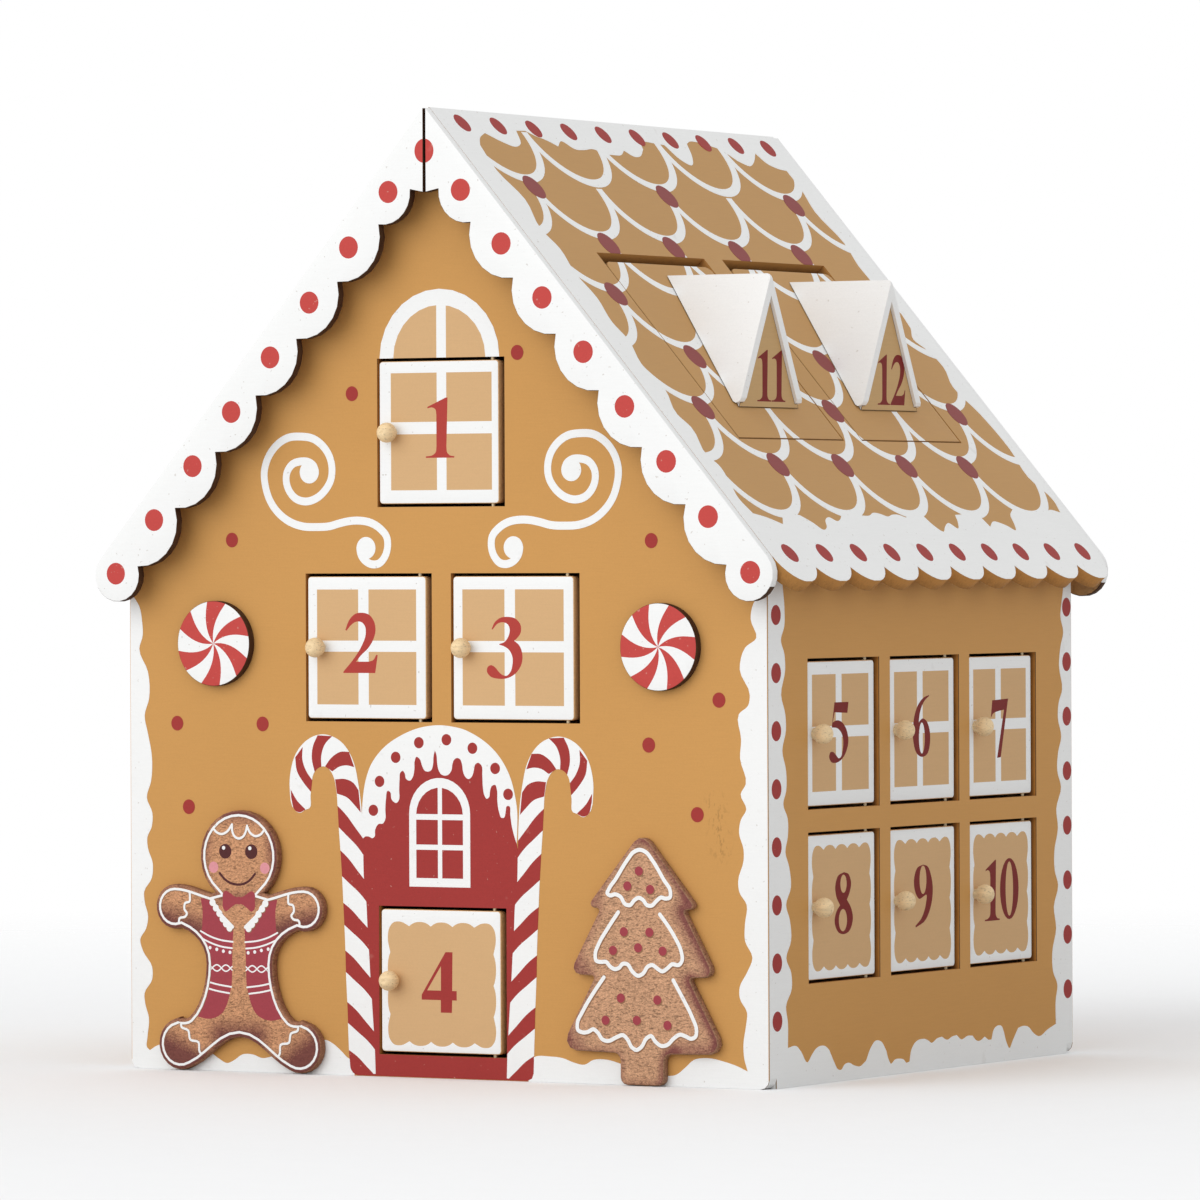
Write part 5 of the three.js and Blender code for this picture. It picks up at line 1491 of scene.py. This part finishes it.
class HOUSE_OT_hang_doors(Operator):
    """Makes the twenty doors, each a printed board with a turned knob and a steel rod."""

    bl_idname = "house.hang_doors"
    bl_label = "Hang doors"

    def execute(self, context):
        sizes = context.scene.house_sizes
        for side, numbers in DOORS.items():
            board = WALLS[side]
            _, openings = face_of(f"{side}_wall", board)
            centres = [Vector((sum(a for a, _ in o) / len(o), sum(b for _, b in o) / len(o))) for o in openings]
            face = board if side in END_WALLS else board.raised(-DOOR_SET_BACK)
            for number in numbers:
                low, high = span([board.flat(v.co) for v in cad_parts[f"door_{number:02d}"].data.vertices])
                middle = (Vector(low) + Vector(high)) / 2
                centre = min(centres, key=lambda c: (c - middle).length)
                self.make_door(number, side, face, centre.x, centre.y - OPENING / 2, sizes)
        return {"FINISHED"}

    def make_door(self, number, side, board, a, sill, sizes):
        name = f"door_{number:02d}"
        rows = END_ROWS if side in END_WALLS else SIDE_ROWS
        place = next(row for row, height in rows if sill > height)
        shift = lambda line: moved(line, a, sill)
        marks = placed(door_print(number, place), shift)
        outline = shift(oblong(*DOOR_EDGES, DOOR_CORNER))
        # the doors' edges take the lightened board, painted light in the gaps round each door
        paints, rounding = ("icing", "door_edge", "board"), sizes.round_over / MM
        finish_board(name, board, outline, LEAF, marks, paints, name, rounding)
        radius = sizes.knob_radius / MM
        ball = 0.9 + math.sqrt(radius**2 - KNOB_STEM[1][0] ** 2)
        turns = [math.radians(t) for t in range(45, 156, 10)]
        profile = KNOB_STEM + [(radius * math.sin(t), ball - radius * math.cos(t)) for t in turns]
        profile += [(across, ball + radius + height) for across, height in KNOB_TIP]
        half = OPENING / 2
        base = board.at(a + KNOB_FROM_MIDDLE, sill + half)
        turn_piece(f"{name}_knob", base, board.out, profile, "knob_wood", name, crease=60)
        rod = board.at(a + ROD_FROM_MIDDLE, sill + half, -LEAF / 2)
        fit_rod(f"{name}_rod", rod, board.up, DOOR_ROD_REACH, name)


class HOUSE_OT_paint_roof(Operator):
    """Paints the roof boards, makes the four hatch lids and lays the roof print over both."""

    bl_idname = "house.paint_roof"
    bl_label = "Paint roof"

    def execute(self, context):
        marks = roof_print()
        for side, board in ROOFS.items():
            dress_node(f"roof_board_{side}", f"{side}_roof_board")
            outline, openings = face_of(f"roof_board_{side}", board)
            tip = max(u for u, _ in outline)
            window = oblong(PRINT_MARGIN, tip - 0.2, -20, 290)
            lay_film(f"roof_{side}_print", board, arrange(marks, outline, openings, window))
            for number in HATCHES[side]:
                self.make_lid(number, board, marks)
        return {"FINISHED"}

    def make_lid(self, number, board, marks):
        node, body = f"hatch_lid_{number}", f"hatch_{number}"
        outline, _ = face_of(node, board)
        paints = ("roof_tan", "lid_edge", "board")
        finish_board(node, board, outline, WALL, marks, paints, body, 0.25)
        low, high = span(outline)
        middle = (low[1] + high[1]) / 2
        fit_rod(f"{node}_rod", board.at(LID_ROD_DOWN, middle, -WALL / 2), board.up, LID_ROD_REACH, body)


class HOUSE_OT_set_dormers(Operator):
    """Paints the dormers white and prints their tan gables."""

    bl_idname = "house.set_dormers"
    bl_label = "Set dormers"

    def execute(self, context):
        for side, numbers in HATCHES.items():
            for number in numbers:
                self.set_dormer(f"dormer_{number}", number, side, WALLS[side])
        return {"FINISHED"}

    def set_dormer(self, node, number, side, wall):
        dress_node(node, f"{side}_dormer_boards")
        outline, _ = face_of(node, wall, DORMER_RECESS)
        away = max(wall.flat(v.co)[2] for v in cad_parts[node].data.vertices) - DORMER_RECESS
        low, high = span(outline)
        middle, foot = (low[0] + high[0]) / 2, low[1]
        digits = middle_numeral(str(number), middle + 2.1, foot + 2.4, foot + 23.4, 24.5, "numeral_maroon")
        # a dark rim 0.2 mm wide, in the cut-edge paint, round the recessed gable: painted shade where the gable meets
        # the dormer boards and the lid
        marks = [mark("cut_edge", outline), mark("gable_tan", inset(outline, 0.2)), *digits]
        lay_film(f"{node}_print", wall.raised(away), arrange(marks, outline), f"hatch_{number}")


class HOUSE_OT_cut_gable_boards(Operator):
    """Makes the four scalloped gable boards with their rows of dots."""

    bl_idname = "house.cut_gable_boards"
    bl_label = "Cut gable boards"

    def execute(self, context):
        sizes = context.scene.house_sizes
        slope_out = Vector((SIN, COS))
        for end, board in (("front", GABLE_FRONT), ("back", GABLE_BACK)):
            for side in ("right", "left"):
                node = f"gable_board_{end}_{side}"
                outline, _ = face_of(node, board)
                lean = 1 if sum(a for a, _ in outline) > 0 else -1
                path = [(lean * a, b) for a, b in (GABLE_DOTS_FROM, GABLE_DOTS_TO)]
                ridge_dot = oval(0, RIDGE_DOT, sizes.gable_dot / MM, sizes.gable_dot * 1.08 / MM)
                marks = [mark("red", ridge_dot), dots_along("red", path, sizes.gable_dots, sizes.gable_dot)]

                def edge_of(middle, out, lean=lean):
                    """White along the roof line and round the lower end, charred round the scallops."""
                    over = (RIDGE - middle.y) - abs(middle.x) * SIN / COS
                    upper = over < 1.2 / COS and out.dot(Vector((lean * slope_out.x, slope_out.y))) > 0.5
                    end = abs(middle.x) > 158 and out.x * lean > 0.3
                    return "icing" if upper or end else "cut_edge"

                finish_board(node, board, outline, CUTOUT, marks, WHITE_BOARD, "house", 0.3, edge_of)
        return {"FINISHED"}


class HOUSE_OT_ice_cookies(Operator):
    """Makes the gingerbread man and the tree, with their icing."""

    bl_idname = "house.ice_cookies"
    bl_label = "Ice cookies"

    def execute(self, context):
        rounding = context.scene.house_sizes.cookie_round / MM
        paints = {"gingerbread_man": ("cookie", "cookie_edge"), "tree_cookie": ("tree_cookie", "tree_edge")}
        for node, paint in paints.items():
            outline, _ = face_of(node, CUTOUTS)
            marks = man_print(outline) if node == "gingerbread_man" else tree_print()
            paint = (*paint, "board")
            finish_board(node, CUTOUTS, outline, CUTOUT, marks, paint, "house", rounding, grid=1.3)
        return {"FINISHED"}


class HOUSE_OT_set_peppermints(Operator):
    """Makes the two peppermint discs."""

    bl_idname = "house.set_peppermints"
    bl_label = "Set peppermints"

    def execute(self, context):
        for node, first in (("peppermint_left", 84.8), ("peppermint_right", 58.0)):
            outline, _ = face_of(node, CUTOUTS)
            a, b = (sum(p[k] for p in outline) / len(outline) for k in (0, 1))
            marks, ring = [swirl(a, b, PEPPERMINT, first, 30)], oval(a, b, PEPPERMINT, corners=80)
            finish_board(node, CUTOUTS, ring, CUTOUT, marks, WHITE_BOARD, "house", 0.35)
        return {"FINISHED"}


class HOUSE_OT_finish_inside(Operator):
    """Gives the base and the inner boards their bare fibreboard finish."""

    bl_idname = "house.finish_inside"
    bl_label = "Finish inside"

    def execute(self, context):
        starts = ("base", "long", "lower", "side", "divider", "attic", "cross", "middle")
        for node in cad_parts:
            if node.startswith(starts):
                dress_node(node, "board")
        return {"FINISHED"}


class HOUSE_OT_set_stage(Operator):
    """Sets the pale floor, the soft light and the camera."""

    bl_idname = "house.set_stage"
    bl_label = "Set stage"

    def execute(self, context):
        scene, light = context.scene, context.scene.house_light
        scene.view_settings.view_transform = "Standard"
        self.make_floor(scene, light)
        self.make_sky(scene, light)
        lamp = bpy.data.lights.new("main_light", "SUN")
        lamp.energy, lamp.angle = light.lamp, light.lamp_width
        sun = bpy.data.objects.new("main_light", lamp)
        sun.rotation_euler = Vector(LAMP_FROM).normalized().to_track_quat("Z", "Y").to_euler()
        scene.collection.objects.link(sun)
        self.make_camera(scene)
        return {"FINISHED"}

    def make_floor(self, scene, light):
        """A round floor that keeps the shadow near the house and fades into the white beyond."""
        reach, sides, shares = light.floor, 60, (0.1, 0.25, 0.5, 1.0)
        below = -0.00005  # keeps the floor clear of the feet of the walls
        points, faces = [(0, 0, below)], []
        for share in shares:
            points += [(a, b, below) for a, b in oval(0, 0, reach * share, corners=sides)]
        for k in range(sides):
            a, b = 1 + k, 1 + (k + 1) % sides
            faces.append((0, a, b))
            for step in range(0, sides * (len(shares) - 1), sides):
                faces.append((a + step, a + step + sides, b + step + sides, b + step))
        mesh = bpy.data.meshes.new("floor")
        mesh.from_pydata(points, [], faces)
        floor = bpy.data.objects.new("floor", mesh)
        scene.collection.objects.link(floor)
        f = Finish("floor_paper")
        f.material.surface_render_method = "BLENDED"
        seen = f.add("ShaderNodeLightPath", None, None, "Is Camera Ray")
        grain = f.noise(60, 3) * 0.02 + 0.97
        tone = f.mix(seen, (0.60, 0.60, 0.60), f.toned((0.98, 0.99, 1.0), grain))
        looks = {"Base Color": tone, "Roughness": 0.9, "Specular IOR Level": 0.1}
        paper = f.add("ShaderNodeBsdfPrincipled", None, looks)
        clear = f.add("ShaderNodeBsdfTransparent")
        away = f.add("ShaderNodeVectorMath", {"operation": "LENGTH"}, {0: f.spot}, "Value")
        fade = ((away - reach * 0.28) / (reach * 0.62)).bounded()
        f.add_end(f.add("ShaderNodeMixShader", None, {0: fade, 1: paper, 2: clear}))
        mesh.materials.append(f.material)

    def make_sky(self, scene, light):
        """Even pale light, and plain white where the camera or a gloss sees past the floor."""
        world = bpy.data.worlds.new("studio")
        world.use_nodes = True
        world.node_tree.nodes.clear()
        sky = Nodes(world.node_tree)
        even = sky.add("ShaderNodeBackground", None, {"Color": (1, 1, 1, 1), "Strength": light.sky})
        white = sky.add("ShaderNodeBackground", None, {"Color": (1, 1, 1, 1), "Strength": 1.0})
        seen = sky.add("ShaderNodeLightPath", None, None, "Is Camera Ray")
        glossy = Sum(sky, seen.socket.node.outputs["Is Glossy Ray"])
        through = Sum(sky, seen.socket.node.outputs["Is Transmission Ray"])
        share = (seen + glossy + through).bounded()
        mixed = sky.add("ShaderNodeMixShader", None, {0: share, 1: even, 2: white})
        end = world.node_tree.nodes.new("ShaderNodeOutputWorld")
        world.node_tree.links.new(mixed.socket, end.inputs["Surface"])
        scene.world = world

    def make_camera(self, scene):
        """A long lens, level, a little to the right of the front."""
        lens = bpy.data.cameras.new("photo_camera")
        lens.lens, lens.sensor_width, lens.shift_y = LENS, 36.0, LENS_SHIFT
        camera = bpy.data.objects.new("photo_camera", lens)
        right = Vector((math.cos(CAMERA_YAW), math.sin(CAMERA_YAW), 0))
        back = Vector((math.sin(CAMERA_YAW), -math.cos(CAMERA_YAW), 0))
        place = Matrix((right, Vector((0, 0, 1)), back)).transposed().to_4x4()
        place.translation = Vector(CAMERA_PLACE)
        camera.matrix_world = place @ Matrix.Rotation(CAMERA_ROLL, 4, "Z")
        scene.collection.objects.link(camera)
        scene.camera = camera


class HOUSE_PT_panel(Panel):
    """Lists the steps that finish the house."""

    bl_label = "Advent house"
    bl_idname = "HOUSE_PT_panel"
    bl_space_type = "VIEW_3D"
    bl_region_type = "UI"
    bl_category = "House"

    def draw(self, context):
        for step in STEPS:
            self.layout.operator(step.bl_idname)
        for group in ("house_paints", "house_sizes", "house_light"):
            box = self.layout.box()
            settings = getattr(context.scene, group)
            for name in settings.__annotations__:
                box.prop(settings, name)


SETTINGS = {"house_paints": HousePaints, "house_sizes": HouseSizes, "house_light": HouseLight}
STEPS = (
    HOUSE_OT_mix_paints,
    HOUSE_OT_paint_walls,
    HOUSE_OT_hang_doors,
    HOUSE_OT_paint_roof,
    HOUSE_OT_set_dormers,
    HOUSE_OT_cut_gable_boards,
    HOUSE_OT_ice_cookies,
    HOUSE_OT_set_peppermints,
    HOUSE_OT_finish_inside,
    HOUSE_OT_set_stage,
)


def register():
    for kind in (*SETTINGS.values(), *STEPS, HOUSE_PT_panel):
        bpy.utils.register_class(kind)
    for name, kind in SETTINGS.items():
        setattr(bpy.types.Scene, name, PointerProperty(type=kind))


def unregister():
    for name in SETTINGS:
        delattr(bpy.types.Scene, name)
    for kind in (HOUSE_PT_panel, *reversed(STEPS), *SETTINGS.values()):
        bpy.utils.unregister_class(kind)


def main():
    register()
    for step in STEPS:
        group, name = step.bl_idname.split(".")
        getattr(getattr(bpy.ops, group), name)()


if __name__ == "__main__":
    main()
